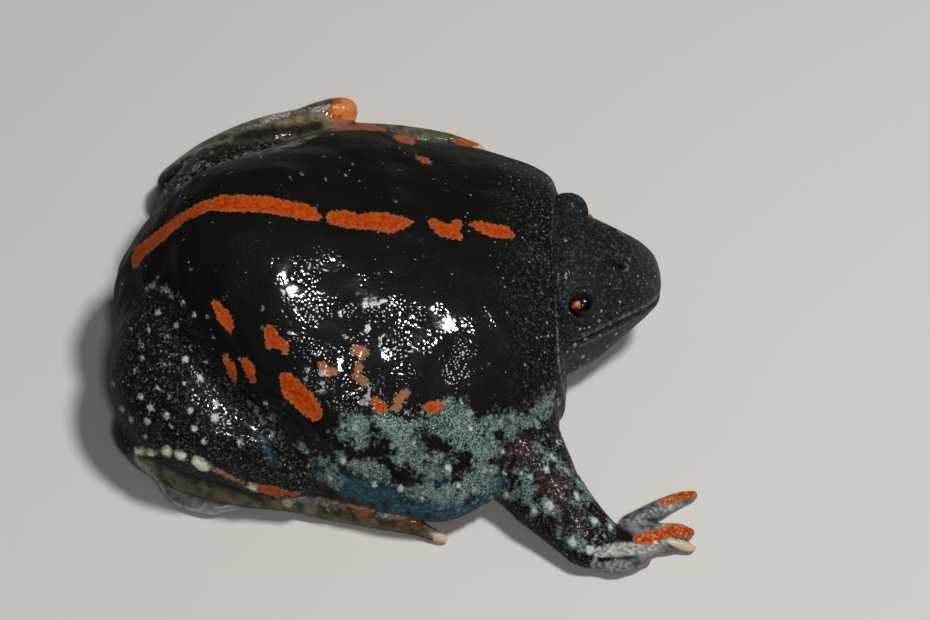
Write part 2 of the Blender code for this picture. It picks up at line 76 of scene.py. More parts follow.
# %% Camera
PICTURE_WIDTH = 930
PICTURE_HEIGHT = 620
AIM = Vector((19.4, 6.3, 0.0)) * MM
CAMERA_DISTANCE = 450 * MM
CAMERA_ELEVATION = math.radians(50)
CAMERA_AZIMUTH = math.radians(-5)
PIXELS_PER_RADIAN = 3237.4

backwards = Vector((
    math.sin(CAMERA_AZIMUTH) * math.cos(CAMERA_ELEVATION),
    -math.cos(CAMERA_AZIMUTH) * math.cos(CAMERA_ELEVATION),
    math.sin(CAMERA_ELEVATION),
))
rightwards = Vector((math.cos(CAMERA_AZIMUTH), math.sin(CAMERA_AZIMUTH), 0.0))
upwards = backwards.cross(rightwards)

lens = bpy.data.cameras.new("camera")
lens.sensor_width = 36.0
lens.lens = 36.0 * PIXELS_PER_RADIAN / PICTURE_WIDTH
lens.clip_start = 0.01
camera = bpy.data.objects.new("camera", lens)
camera.location = AIM + backwards * CAMERA_DISTANCE
camera.rotation_euler = backwards.to_track_quat("Z", "Y").to_euler()
bpy.context.scene.collection.objects.link(camera)
bpy.context.scene.camera = camera
bpy.context.scene.view_settings.view_transform = "Standard"
print("camera lens", round(lens.lens, 1), "mm at", [round(c, 3) for c in camera.location])

# %% [markdown]
# ## Floor and light
# Wet skin is seen mostly by what it reflects. A small soft key lamp above the head breaks into
# many tiny glints on the rough skin, as the flash does in the photograph, and a weaker second one
# near the camera adds a few on the flank. The surroundings stay dim, because a wet black skin would
# mirror a bright room and turn grey, and one large weak lamp keeps the shaded side readable.

# %% Floor and light
FLOOR_COLOUR = (0.66, 0.64, 0.60, 1.0)

floor_mesh = bpy.data.meshes.new("floor")
corners = [(-3, -3, 0), (3, -3, 0), (3, 3, 0), (-3, 3, 0)]
floor_mesh.from_pydata(corners, [], [(0, 1, 2, 3)])
floor = bpy.data.objects.new("floor", floor_mesh)
bpy.context.scene.collection.objects.link(floor)
floor_look = bpy.data.materials.new("floor")
floor_look.use_nodes = True
floor_shader = floor_look.node_tree.nodes["Principled BSDF"]
floor_shader.inputs["Base Color"].default_value = FLOOR_COLOUR
floor_shader.inputs["Roughness"].default_value = 0.9
floor_mesh.materials.append(floor_look)
floor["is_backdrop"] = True


def add_lamp(name, place, size, power):
    """A soft round lamp that looks at the middle of the toad."""
    data = bpy.data.lights.new(name, "AREA")
    data.shape = "DISK"
    data.size = size
    data.energy = power
    lamp = bpy.data.objects.new(name, data)
    lamp.location = place
    lamp.rotation_euler = (lamp.location - AIM).to_track_quat("Z", "Y").to_euler()
    bpy.context.scene.collection.objects.link(lamp)


add_lamp("key", place=(0.24, -0.09, 0.61), size=0.10, power=3.1)
add_lamp("second", place=(0.05, -0.42, 0.52), size=0.07, power=0.8)
add_lamp("fill", place=(-0.65, 0.55, 0.70), size=0.80, power=0.16)

surroundings = bpy.data.worlds.new("surroundings")
surroundings.use_nodes = True
background = surroundings.node_tree.nodes["Background"]
background.inputs["Color"].default_value = (0.80, 0.82, 0.85, 1.0)
background.inputs["Strength"].default_value = 0.05
bpy.context.scene.world = surroundings
print("lamps:", [light.name for light in bpy.data.lights])

# %% [markdown]
# ## Measurements of the body
# A toad's body can be described as a row of cross-sections, and its limbs as lines with a
# thickness. The solids were made that way, and the skin repeats the same rows, because it has to
# lie exactly over them. Only the spacing is finer here.

# %% Body and head sections
# From rump to collar: x, middle y, half width, lowest z, widest z, top z, upper fullness
TORSO = (
    (-28.2, 0.0, 0.0, 11.0, 11.0, 11.0, 2.0),
    (-27.6, 0.0, 6.0, 6.5, 10.5, 16.0, 2.0),
    (-24.7, 0.0, 11.0, 2.4, 9.5, 21.4, 2.0),
    (-20.6, 0.0, 15.2, 0.2, 8.6, 26.2, 2.0),
    (-15.5, 0.0, 19.8, -0.9, 7.6, 30.2, 1.95),
    (-9.0, -0.6, 24.2, -0.9, 6.6, 31.0, 1.9),
    (-1.0, 0.1, 29.2, -0.9, 5.8, 29.3, 1.85),
    (4.0, 0.7, 31.6, -0.9, 5.4, 27.6, 1.85),
    (7.5, 0.4, 32.6, -0.9, 5.2, 26.8, 1.85),
    (11.0, -0.6, 32.4, -0.9, 5.2, 26.0, 1.8),
    (14.0, -1.6, 31.7, -0.9, 5.2, 25.4, 1.8),
    (19.8, -1.2, 29.3, -0.6, 5.6, 24.0, 1.85),
    (25.0, -0.4, 25.0, 0.0, 6.4, 22.3, 1.95),
    (28.7, 0.2, 21.2, 0.8, 7.6, 20.9, 2.0),
    (30.7, 1.0, 17.4, 2.0, 9.0, 19.5, 2.0),
    (31.4, 0.8, 9.0, 5.0, 10.4, 16.6, 2.0),
    (31.6, 0.8, 0.0, 11.0, 11.0, 11.0, 2.0),
)
HEAD = (
    (18.5, 0.0, 0.0, 10.0, 10.0, 10.0, 2.2),
    (20.5, 0.0, 9.0, 4.0, 8.6, 16.6, 2.2),
    (27.0, 0.4, 12.1, 1.2, 7.6, 19.8, 2.3),
    (31.5, 0.6, 12.0, 1.3, 7.8, 19.6, 2.3),
    (35.0, 0.8, 10.7, 2.2, 8.3, 18.8, 2.3),
    (38.5, 0.8, 8.7, 3.9, 9.2, 17.4, 2.25),
    (41.5, 0.8, 6.7, 5.8, 10.1, 15.8, 2.2),
    (43.7, 0.8, 5.0, 7.2, 10.6, 14.4, 2.2),
    (44.9, 0.8, 3.2, 8.8, 10.8, 13.2, 2.2),
    (45.3, 0.8, 0.0, 10.9, 10.9, 10.9, 2.2),
)
LOW_FULLNESS = 2.1

# The collar is slanted: it lies further forward on the left, and again low on the right
COLLAR_SLANT = 0.12
COLLAR_TURN_Y = -9.0
COLLAR_TURN = 0.34
COLLAR_TURN_SOFTNESS = 1.5
COLLAR_TURN_MOST = 8.0
COLLAR_FROM_X = 13.0
COLLAR_FULL_X = 27.0


def collar_shift(x, y):
    """How far forward the slant moves points that stood at x and y in the straight body."""
    share = np.clip((x - COLLAR_FROM_X) / (COLLAR_FULL_X - COLLAR_FROM_X), 0.0, 1.0)
    past = np.minimum((COLLAR_TURN_Y - y) / COLLAR_TURN_SOFTNESS, 30.0)
    turn = np.log1p(np.exp(past)) * COLLAR_TURN_SOFTNESS
    shift = COLLAR_SLANT * y + COLLAR_TURN * np.minimum(turn, COLLAR_TURN_MOST)
    return shift * share * share * (3.0 - 2.0 * share)


def straight_x(points):
    """The x that each point of the slanted body would have in the straight body."""
    x = points[:, 0]
    for _ in range(8):
        x = points[:, 0] - collar_shift(x, points[:, 1])
    return x


print("torso from x", TORSO[0][0], "to", TORSO[-1][0], "and head to", HEAD[-1][0], "mm")

# %% Limbs
# Rows of x, y, z, half breadth and half height along each limb, for its right and left copy
FRONT_LEG = {
    "right": ((20.6, -15.0, 8.5, 7.2, 6.2), (23.6, -23.0, 6.4, 6.2, 5.4),
              (26.9, -29.8, 5.0, 5.0, 4.4), (30.3, -34.4, 3.7, 4.2, 3.4),
              (32.8, -37.2, 2.8, 3.9, 2.6)),
    "left": ((17.5, 12.0, 8.0, 6.6, 6.2), (22.5, 15.6, 6.2, 6.0, 5.2),
             (27.0, 16.6, 4.6, 4.6, 3.9), (30.2, 16.6, 3.1, 3.8, 2.8)),
}
PALM = {
    "right": ((32.6, -36.6, 2.4, 3.2, 2.0), (35.2, -37.6, 1.9, 3.7, 1.8),
              (37.8, -36.4, 1.5, 3.2, 1.4)),
    "left": ((29.4, 16.6, 2.6, 2.8, 1.9), (31.8, 16.9, 1.8, 3.2, 1.7), (33.6, 17.1, 1.4, 2.9, 1.3)),
}
THIGH = {
    "right": ((-16.8, -4.0, 15.2, 8.0, 8.5), (-20.2, -10.6, 12.0, 8.9, 9.0),
              (-18.6, -16.2, 10.8, 8.4, 7.8), (-11.0, -22.0, 9.2, 6.0, 6.2),
              (-5.5, -25.0, 7.4, 4.2, 4.4)),
    "left": ((-16.0, 5.0, 13.0, 8.0, 8.6), (-16.6, 15.0, 10.4, 8.4, 8.4),
             (-12.6, 22.6, 8.8, 7.4, 7.2), (-4.5, 26.2, 7.4, 5.6, 5.4)),
}
SHANK = {
    "right": ((-5.0, -24.0, 5.0, 3.0, 3.4), (-11.5, -21.2, 5.4, 3.8, 3.8),
              (-18.5, -17.2, 5.6, 4.4, 4.0), (-25.4, -15.4, 5.6, 4.0, 3.8)),
    "left": ((-4.0, 29.8, 4.8, 3.4, 3.8), (-9.6, 30.4, 5.2, 4.2, 4.2),
             (-15.2, 28.6, 5.2, 4.4, 4.0), (-19.4, 26.4, 4.8, 4.0, 3.6)),
}
FOOT = {
    "right": ((-25.0, -17.7, 3.7, 2.4, 2.8), (-18.8, -21.0, 3.4, 3.5, 3.2),
              (-12.4, -23.5, 3.1, 3.3, 2.9), (-7.0, -25.0, 2.6, 2.5, 2.4),
              (-2.4, -26.7, 1.8, 2.1, 1.6)),
    "left": ((-20.0, 29.8, 3.8, 2.6, 2.8), (-14.0, 34.0, 3.6, 3.5, 3.1),
             (-7.5, 37.8, 3.2, 3.6, 2.8), (-1.5, 40.1, 2.5, 3.5, 2.2), (3.4, 40.8, 1.7, 2.9, 1.4)),
}
SPADE = {
    "right": ((-23.8, -20.5, 1.4, 0.5, 0.7), (-21.0, -23.3, 1.2, 1.5, 1.15),
              (-17.4, -25.0, 1.2, 1.6, 1.15), (-13.6, -26.0, 1.4, 0.5, 0.7)),
    "left": ((-20.6, 31.8, 1.4, 0.5, 0.7), (-17.4, 35.2, 1.2, 1.5, 1.15),
             (-13.0, 37.9, 1.2, 1.6, 1.15), (-8.6, 40.0, 1.4, 0.5, 0.7)),
}
print("limbs: front leg, palm, thigh, shank, foot and spade on each side")

# %% Fingers and toes
# Each digit runs through four joints, and all fingers or toes share one row of radii
FINGERS = {
    "right": (
        ((37.4, -33.4, 1.3), (41.2, -31.4, 1.25), (44.4, -29.7, 1.05), (46.7, -28.8, 0.75)),
        ((37.8, -35.6, 1.3), (41.4, -35.0, 1.2), (43.8, -34.6, 1.0), (45.4, -35.0, 0.75)),
        ((37.6, -37.0, 1.3), (41.0, -36.7, 1.15), (43.4, -36.8, 0.95), (45.2, -37.4, 0.7)),
        ((36.2, -38.2, 1.3), (37.4, -38.7, 1.15), (38.4, -38.9, 1.0), (39.2, -38.8, 0.75)),
    ),
    "left": (
        ((32.8, 15.6, 1.2), (35.8, 14.4, 1.15), (38.2, 13.6, 1.0), (40.2, 13.4, 0.7)),
        ((33.2, 16.9, 1.2), (36.4, 17.0, 1.15), (38.8, 17.2, 1.0), (40.6, 17.6, 0.7)),
        ((33.0, 18.1, 1.2), (35.2, 19.4, 1.15), (36.9, 20.4, 1.0), (38.3, 21.2, 0.7)),
        ((32.2, 19.0, 1.2), (33.2, 20.6, 1.1), (33.9, 21.8, 0.95), (34.4, 22.8, 0.7)),
    ),
}
FINGER_RADII = (1.35, 1.25, 1.0, 0.75)
TOES = {
    "right": (
        ((-8.0, -23.6, 1.4), (-4.0, -23.4, 1.2), (-1.4, -23.2, 1.0), (0.4, -23.2, 0.8)),
        ((-4.0, -25.6, 1.5), (0.6, -25.4, 1.2), (3.6, -25.6, 1.0), (5.6, -26.0, 0.8)),
        ((-3.0, -27.0, 1.5), (3.0, -27.8, 1.3), (7.0, -28.8, 1.1), (10.0, -29.9, 0.8)),
        ((-2.6, -27.3, 1.5), (4.4, -29.5, 1.3), (9.8, -31.3, 1.1), (13.1, -33.1, 0.8)),
        ((-11.0, -24.8, 3.4), (-9.4, -25.7, 3.3), (-8.0, -26.4, 3.1), (-6.9, -26.9, 2.9)),
    ),
    "left": (
        ((-4.0, 35.8, 1.4), (0.4, 34.8, 1.2), (3.2, 34.4, 1.0), (5.2, 34.4, 0.8)),
        ((0.4, 37.8, 1.5), (6.0, 36.4, 1.3), (9.8, 35.6, 1.1), (12.2, 35.0, 0.8)),
        ((2.0, 39.2, 1.5), (9.0, 37.8, 1.4), (14.2, 36.4, 1.2), (17.8, 35.2, 0.8)),
        ((3.0, 40.4, 1.6), (11.6, 39.3, 1.6), (19.0, 37.6, 1.4), (24.2, 35.6, 0.9)),
        ((-2.0, 42.0, 2.3), (1.2, 42.9, 2.4), (3.4, 43.3, 2.4), (5.0, 43.5, 2.3)),
    ),
}
TOE_RADII = (1.3, 1.2, 1.0, 0.75)
OUTER_TOE_RADII = {"right": (1.3, 1.2, 1.0, 0.8), "left": (1.6, 1.9, 2.05, 2.0)}
counts = [sum(len(lines) for lines in table.values()) for table in (FINGERS, TOES)]
print("digits:", counts[0], "fingers and", counts[1], "toes")

# %% [markdown]
# ## From measurements to closed forms
# A sculptor would start from rough masses and blend them. Here each mass is a loft: rings of
# points along a smooth line, joined by faces and closed at both ends. The line must not swing
# wider than its given rows, so its slopes are the harmonic kind that never overshoot.

# %% Smooth lines and lofts
def through(rows, count):
    """Rows spaced evenly along a smooth line through the given rows, with no overshoot."""
    rows = np.array(rows, float)
    steps = np.maximum(np.linalg.norm(np.diff(rows[:, :6], axis=0), axis=1), 1e-6)
    along = np.concatenate([[0.0], np.cumsum(steps)])
    rise = np.diff(rows, axis=0) / steps[:, None]
    slope = np.zeros_like(rows)
    slope[0] = rise[0]
    slope[-1] = rise[-1]
    for i in range(1, len(rows) - 1):
        same = rise[i - 1] * rise[i] > 0
        both = np.where(same, rise[i - 1] + rise[i], 1.0)
        slope[i] = np.where(same, 2.0 * rise[i - 1] * rise[i] / both, 0.0)
    at = np.linspace(0.0, along[-1], count)
    k = np.clip(np.searchsorted(along, at, side="right") - 1, 0, len(steps) - 1)
    h = steps[k][:, None]
    t = ((at - along[k]) / steps[k])[:, None]
    return (
        rows[k] * (1 + 2 * t) * (1 - t) ** 2
        + rows[k + 1] * t * t * (3 - 2 * t)
        + slope[k] * h * t * (1 - t) ** 2
        - slope[k + 1] * h * t * t * (1 - t)
    )


masses = {"points": [], "faces": []}


def add_mass(points, faces):
    """Adds one closed form to the pile of forms that the skin will wrap."""
    start = len(masses["points"])
    masses["points"].extend(tuple(point) for point in points)
    masses["faces"].extend(tuple(start + i for i in face) for face in faces)


def loft(rings, first, last):
    """Points and faces of a skin over equal rings, closed on a point at each end."""
    sides = len(rings[0])
    points = [first] + [point for ring in rings for point in ring] + [last]
    faces = []
    for i in range(len(rings) - 1):
        for j in range(sides):
            a = 1 + i * sides + j
            b = 1 + i * sides + (j + 1) % sides
            faces.append((a, b, b + sides, a + sides))
    end = len(points) - 1
    for j in range(sides):
        faces.append((0, 1 + (j + 1) % sides, 1 + j))
        faces.append((end, end - sides + j, end - sides + (j + 1) % sides))
    return points, faces


def section(row, sides):
    """One ring across the body: x, middle y, half width, lowest, widest and top z, fullness."""
    x, middle, half, low, wide, top, fullness = row
    ring = []
    for j in range(sides):
        turn = 2.0 * math.pi * (j + 0.5) / sides
        c = math.cos(turn)
        s = math.sin(turn)
        full = fullness if s > 0 else LOW_FULLNESS
        reach = (top - wide) if s > 0 else (wide - low)
        y = middle + half * math.copysign(abs(c) ** (2.0 / full), c)
        z = wide + reach * math.copysign(abs(s) ** (2.0 / full), s)
        ring.append((x, y, z))
    return ring


def body_shape(stations, rings, sides):
    rows = through(stations, rings + 2)
    skins = [section(row, sides) for row in rows[1:-1]]
    first, last = ((row[0], row[1], row[4]) for row in (rows[0], rows[-1]))
    return loft(skins, first, last)


points, faces = body_shape(TORSO, rings=140, sides=160)
points = np.array(points)
points[:, 0] += collar_shift(points[:, 0], points[:, 1])
add_mass(points.tolist(), faces)
add_mass(*body_shape(HEAD, rings=90, sides=120))
print("body and head:", len(masses["faces"]), "faces")


# %% Limbs, digits and webs
def limb_shape(joints, sides=28, count=40, dome=6):
    """A round limb or digit through its joints, with a domed end at each side."""
    rows = through(joints, count)
    places = [Vector(row[:3]) for row in rows]
    rings = []

    def ring(at, ahead, breadth, height):
        across = ahead.cross(Vector((0, 0, 1))).normalized()
        up = across.cross(ahead).normalized()
        turns = [2.0 * math.pi * j / sides for j in range(sides)]
        return [at + across * (breadth * math.cos(t)) + up * (height * math.sin(t)) for t in turns]

    def dome_ring(end, ahead, sign, step):
        """One ring of the dome beyond an end, smaller the farther out it lies."""
        breadth, height = rows[end][3:5]
        lean = 0.5 * math.pi * step / (dome + 1)
        out = sign * min(breadth, height) * math.sin(lean)
        size = math.cos(lean)
        return ring(places[end] + ahead * out, ahead, breadth * size, height * size)

    first_way = (places[1] - places[0]).normalized()
    last_way = (places[-1] - places[-2]).normalized()
    for step in range(dome, 0, -1):
        rings.append(dome_ring(0, first_way, -1.0, step))
    for i, at in enumerate(places):
        before = places[max(i - 1, 0)]
        after = places[min(i + 1, len(places) - 1)]
        rings.append(ring(at, (after - before).normalized(), rows[i][3], rows[i][4]))
    for step in range(1, dome + 1):
        rings.append(dome_ring(-1, last_way, 1.0, step))
    start = places[0] - first_way * min(rows[0][3], rows[0][4])
    end = places[-1] + last_way * min(rows[-1][3], rows[-1][4])
    return loft(rings, start, end)


WEB_LOW = 0.25
WEB_THICK = 1.0
WEB_STEPS = 6
WEB_ROOT_STEP = 2
WEB_HOLLOW = 0.75
TOE_WEB_REACH = (0.55, 0.62, 0.62)
FINGER_WEB_REACH = (0.5, 0.5, 0.5)


def add_web(one, two, reach):
    """A thin web between two digits, with a hollowed front edge."""
    one = [Vector(point) for point in one]
    two = [Vector(point) for point in two]

    def along(points, share):
        place = share * (len(points) - 1)
        k = min(int(place), len(points) - 2)
        return points[k].lerp(points[k + 1], place - k)

    side_one = [along(one, reach * k / WEB_STEPS) for k in range(WEB_STEPS + 1)]
    side_two = [along(two, reach * k / WEB_STEPS) for k in range(WEB_STEPS + 1)]
    front = []
    for k in range(1, WEB_STEPS):
        t = k / WEB_STEPS
        edge = side_one[-1].lerp(side_two[-1], t)
        root = side_one[WEB_ROOT_STEP].lerp(side_two[WEB_ROOT_STEP], t)
        front.append(edge.lerp(root, WEB_HOLLOW * math.sin(math.pi * t)))
    outline = side_one + front + list(reversed(side_two))
    count = len(outline)
    points = [(p.x, p.y, z) for z in (WEB_LOW, WEB_LOW + WEB_THICK) for p in outline]
    faces = [tuple(range(count)), tuple(range(2 * count - 1, count - 1, -1))]
    for k in range(count):
        after = (k + 1) % count
        faces.append((k, after, after + count, k + count))
    add_mass(points, faces)


def digit_rows(line, radii):
    return [tuple(point) + (radius, radius) for point, radius in zip(line, radii)]


def finger_lines(side):
    return [digit_rows(line, FINGER_RADII) for line in FINGERS[side]]


def toe_lines(side):
    """The toes of one foot; the outermost is thicker on the left foot, where it shows its side."""
    radii = [TOE_RADII] * 4 + [OUTER_TOE_RADII[side]]
    return [digit_rows(line, own) for line, own in zip(TOES[side], radii)]


for side in ("right", "left"):
    for limb in (FRONT_LEG, PALM, THIGH, SHANK, FOOT):
        add_mass(*limb_shape(limb[side]))
    for rows in finger_lines(side) + toe_lines(side):
        add_mass(*limb_shape(rows, sides=18, count=24, dome=5))
    for n in range(3):
        add_web(FINGERS[side][n], FINGERS[side][n + 1], FINGER_WEB_REACH[n])
        add_web(TOES[side][n], TOES[side][n + 1], TOE_WEB_REACH[n])
print("all forms:", len(masses["faces"]), "faces in", len(masses["points"]), "points")

# %% [markdown]
# ## One skin over all of it
# Living skin has no seam where a leg leaves the body. A voxel remesh gives the same: it fills the
# pile of forms with small cubes and wraps one even net around them, so that every join becomes a
# soft crease. Its cube size decides both the finest fold and the number of faces. With 0.54 mm
# the whole skin stays under two hundred thousand triangles after the finer parts are split.

# %% Wrap the forms
VOXEL = 0.54

pile = bpy.data.meshes.new("pile")
pile.from_pydata([tuple(MM * c for c in point) for point in masses["points"]], [], masses["faces"])
wrapping = bpy.data.objects.new("wrapping", pile)
bpy.context.scene.collection.objects.link(wrapping)
remesh = wrapping.modifiers.new("remesh", "REMESH")
remesh.mode = "VOXEL"
remesh.voxel_size = VOXEL * MM
remesh.adaptivity = 0.0
bpy.context.view_layer.update()
wrapped = wrapping.evaluated_get(bpy.context.evaluated_depsgraph_get())
net = bpy.data.meshes.new_from_object(wrapped)
bpy.data.objects.remove(wrapping, do_unlink=True)
print("skin net:", len(net.vertices), "points,", len(net.polygons), "faces")

# %% [markdown]
# ## Where on the body is a point
# The folds and the colours all need to know which part of the animal a point of the skin belongs
# to. A distance from each limb's surface answers that, and it is cheap to work out for all points
# at once with arrays. The share along the limb, from 0 at its root to 1 at its tip, comes with it.

# %% Distances from limbs
def off_limb(points, joints, count=24):
    """Distance of each point from a limb's surface, and its share of the way along the limb."""
    rows = through(joints, count)
    thick = 0.5 * (rows[:, 3] + rows[:, 4])
    gap = np.full(len(points), 1e9)
    share = np.zeros(len(points))
    for k in range(count - 1):
        way = rows[k + 1, :3] - rows[k, :3]
        t = np.clip(((points - rows[k, :3]) @ way) / (way @ way), 0.0, 1.0)
        here = np.linalg.norm(points - rows[k, :3] - t[:, None] * way, axis=1)
        here = here - thick[k] - (thick[k + 1] - thick[k]) * t
        closer = here < gap
        gap = np.where(closer, here, gap)
        share = np.where(closer, (k + t) / (count - 1), share)
    return gap, share


def off_digits(points, lines):
    """The same for a set of fingers or toes: gap to the nearest, share along it, and which."""
    gap = np.full(len(points), 1e9)
    share = np.zeros(len(points))
    which = np.zeros(len(points), int)
    for n, line in enumerate(lines):
        here, along = off_limb(points, line, 9)
        closer = here < gap
        gap = np.where(closer, here, gap)
        share = np.where(closer, along, share)
        which = np.where(closer, n, which)
    return gap, share, which


def ease(low, high, value):
    """0 below low, 1 above high, and a soft slope between them; low may be above high."""
    t = np.clip((value - low) / (high - low), 0.0, 1.0)
    return t * t * (3.0 - 2.0 * t)


def bell(value, width):
    return np.exp(-((value / width) ** 2))


print("ease from 0 to 1:", [round(float(ease(0, 1, v)), 2) for v in (0.0, 0.25, 0.5, 1.0)])

# %% [markdown]
# ## Flat belly, even skin, finer face and fingers
# The toad rests on flats at one level, so whatever the cubes left under the ground is pressed up
# to it, and the hidden middle of the flat belly is merged into one face. A few rounds of relaxing
# take the cube pattern out of the skin: each point moves towards the middle of its neighbours.
# Face, fingers and toes are small, so their net is split again to half the size, and the lids,
# nostrils and lips once more.

# %% Relaxing and splitting
def relax(points, edges, rounds, strength):
    """Moves each point towards its neighbours' middle; strength may differ from point to point."""
    a = edges[:, 0]
    b = edges[:, 1]
    links = np.bincount(a, minlength=len(points)) + np.bincount(b, minlength=len(points))
    links = np.maximum(links, 1)
    strength = np.broadcast_to(strength, len(points))
    for _ in range(rounds):
        middle = np.empty_like(points)
        for axis in range(points.shape[1]):
            total = np.bincount(a, weights=points[b, axis], minlength=len(points))
            total += np.bincount(b, weights=points[a, axis], minlength=len(points))
            middle[:, axis] = total / links
        points = points + (middle - points) * strength[:, None]
    return points


def points_of(mesh):
    found = np.empty(len(mesh.vertices) * 3)
    mesh.vertices.foreach_get("co", found)
    return found.reshape(-1, 3) / MM


def edges_of(mesh):
    found = np.empty(len(mesh.edges) * 2, dtype=np.int64)
    mesh.edges.foreach_get("vertices", found)
    return found.reshape(-1, 2)


def evened(values, rounds):
    """One value for each point of the net, softened over its neighbours."""
    return relax(values[:, None], edges_of(net), rounds, 0.5)[:, 0]


def set_points(mesh, points):
    mesh.vertices.foreach_set("co", (points * MM).ravel())
    mesh.update()


def split_where(mesh, chosen):
    """Halves every edge between two chosen points and fills the faces with a finer net."""
    shape = bmesh.new()
    shape.from_mesh(mesh)
    edges = [edge for edge in shape.edges if all(chosen[end.index] for end in edge.verts)]
    bmesh.ops.subdivide_edges(shape, edges=edges, cuts=1, use_grid_fill=True)
    shape.to_mesh(mesh)
    shape.free()


EYE_RADIUS = 2.15
EYE_AT = {"right": (33.7, -7.2, 15.5), "left": (33.8, 9.4, 15.6)}
NOSTRIL_AT = {"right": (39.6, -1.8, 16.3), "left": (39.6, 4.4, 15.7)}
NOSTRIL_LOOKS = {"right": (0.25, -0.75, 0.60), "left": (0.25, 0.87, 0.42)}


MOUTH_CORNER_X = 32.2
MOUTH_TIP_X = 45.0


def mouth_height(x):
    """Height of the line of the mouth, which sinks a little from its corner to the snout."""
    t = np.clip((x - MOUTH_CORNER_X) / (MOUTH_TIP_X - MOUTH_CORNER_X), 0.0, 1.0)
    return 11.9 - 1.2 * t + 0.4 * np.sin(math.pi * t)


def digit_gap(points):
    """Distance of each point from the nearest finger or toe."""
    sets = [lines(side) for lines in (finger_lines, toe_lines) for side in ("right", "left")]
    return np.min([off_digits(points, lines)[0] for lines in sets], axis=0)


# How near the digits, the face, the eyes, the nostrils and the mouth the net is split
FINE_DIGITS = 0.5
FINE_FACE_X = 31.2
FINE_EYE = 3.9
FINE_NOSTRIL = 1.7
FINE_MOUTH = 0.7
FINE_MOUTH_X = 31.6

points = points_of(net)
loose = 1.0 - ease(1.2, 0.3, digit_gap(points))
points = relax(points, edges_of(net), 3, 0.5)
points = relax(points, edges_of(net), 9, 0.5 * loose)
points[:, 2] = np.maximum(points[:, 2], 0.0)
set_points(net, points)

fine = digit_gap(points) < FINE_DIGITS
fine |= straight_x(points) > FINE_FACE_X
fine &= points[:, 2] > 0.0
split_where(net, fine)
points = relax(points_of(net), edges_of(net), 3, 0.4)
print("after the first split:", len(net.polygons), "faces")

finest = np.zeros(len(points), bool)
for side in ("right", "left"):
    finest |= np.linalg.norm(points - EYE_AT[side], axis=1) < FINE_EYE
    finest |= np.linalg.norm(points - NOSTRIL_AT[side], axis=1) < FINE_NOSTRIL
by_mouth = np.abs(points[:, 2] - mouth_height(points[:, 0])) < FINE_MOUTH
finest |= by_mouth & (points[:, 0] > FINE_MOUTH_X)
set_points(net, points)
split_where(net, finest)
points = relax(points_of(net), edges_of(net), 2, 0.4)
points[:, 2] = np.maximum(points[:, 2], 0.0)
set_points(net, points)
print("after the second split:", len(net.polygons), "faces")


# %% One face for the middle of the belly
ON_GROUND = 1e-7


def merge_flat(mesh):
    """Merges the flat under the belly and returns the number of open edges, which should be 0."""
    shape = bmesh.new()
    shape.from_mesh(mesh)
    low = {v for v in shape.verts if v.co.z < ON_GROUND}
    flat = [v for v in shape.verts
            if v in low and all(e.other_vert(v) in low for e in v.link_edges)]
    inside = set(flat)
    faces = [f for f in shape.faces if all(v in inside for v in f.verts)]
    # A dict keeps the edges in order; a set would mix them, and the triangles, anew in each run
    edges = dict.fromkeys(e for f in faces for e in f.edges)
    bmesh.ops.dissolve_limit(shape, angle_limit=0.001, verts=flat, edges=list(edges))
    bmesh.ops.triangulate(shape, faces=shape.faces)
    bmesh.ops.recalc_face_normals(shape, faces=shape.faces)
    open_edges = sum(not edge.is_manifold for edge in shape.edges)
    shape.to_mesh(mesh)
    shape.free()
    return open_edges


print("open edges:", merge_flat(net), "triangles:", len(net.polygons))

# %% [markdown]
# ## Loose skin and its folds
# This toad's skin hangs loose on it. Where two parts meet, it gathers in folds that run along the
# join, so a fold is a wave of the distance from the other part. Slow random waves bend the rows,
# since no two real folds are alike, and broad soft bumps keep the back from looking inflated.

# %% Random waves and the skin's normals
def bumps(points, size, seed):
    """Soft random bumps between -1 and 1, about one for each size in millimetres."""
    place = points / size
    cell = np.floor(place).astype(np.int64)
    part = place - cell
    fade = part * part * (3.0 - 2.0 * part)
    total = np.zeros(len(points))
    for corner in itertools.product((0, 1), repeat=3):
        c = cell + np.array(corner)
        mixed = (c[:, 0] * 73856093) ^ (c[:, 1] * 19349663) ^ (c[:, 2] * 83492791)
        mixed ^= seed * 49979687
        mixed = (mixed ^ (mixed >> 13)) * 60493 & 0x7FFFFFFF
        value = (mixed % 100003) / 50001.5 - 1.0
        total += value * np.prod(np.where(np.array(corner) == 1, fade, 1.0 - fade), axis=1)
    return total


net_faces = np.empty(len(net.polygons) * 3, dtype=np.int64)
net.polygons.foreach_get("vertices", net_faces)
net_faces = net_faces.reshape(-1, 3)


def normals_of(points):
    a, b, c = (points[net_faces[:, k]] for k in range(3))
    across = np.cross(b - a, c - a)
    total = np.zeros_like(points)
    for k in range(3):
        corner = net_faces[:, k]
        for axis in range(3):
            total[:, axis] += np.bincount(corner, weights=across[:, axis], minlength=len(points))
    return total / np.maximum(np.linalg.norm(total, axis=1), 1e-12)[:, None]


def off_body(points, x, stations):
    """Rough distance of each point from the surface of the body or the head, at its given x."""
    rows = through(stations, 400)
    xs = rows[:, 0]
    middle, half, low, wide, top, full = (np.interp(x, xs, rows[:, k]) for k in range(1, 7))
    above = points[:, 2] > wide
    reach = np.maximum(np.where(above, top - wide, wide - low), 0.05)
    full = np.where(above, full, LOW_FULLNESS)
    side = np.abs(points[:, 1] - middle)
    rise = np.abs(points[:, 2] - wide)
    share = ((side / np.maximum(half, 0.05)) ** full + (rise / reach) ** full) ** (1.0 / full)
    out = np.hypot(side, rise) * (1.0 - 1.0 / np.maximum(share, 1e-6))
    return np.where(x > xs[-1], np.maximum(out, x - xs[-1]), out)


# Relaxing draws the net in, and this much growth brings it back out to the solids
GROWTH = 0.16

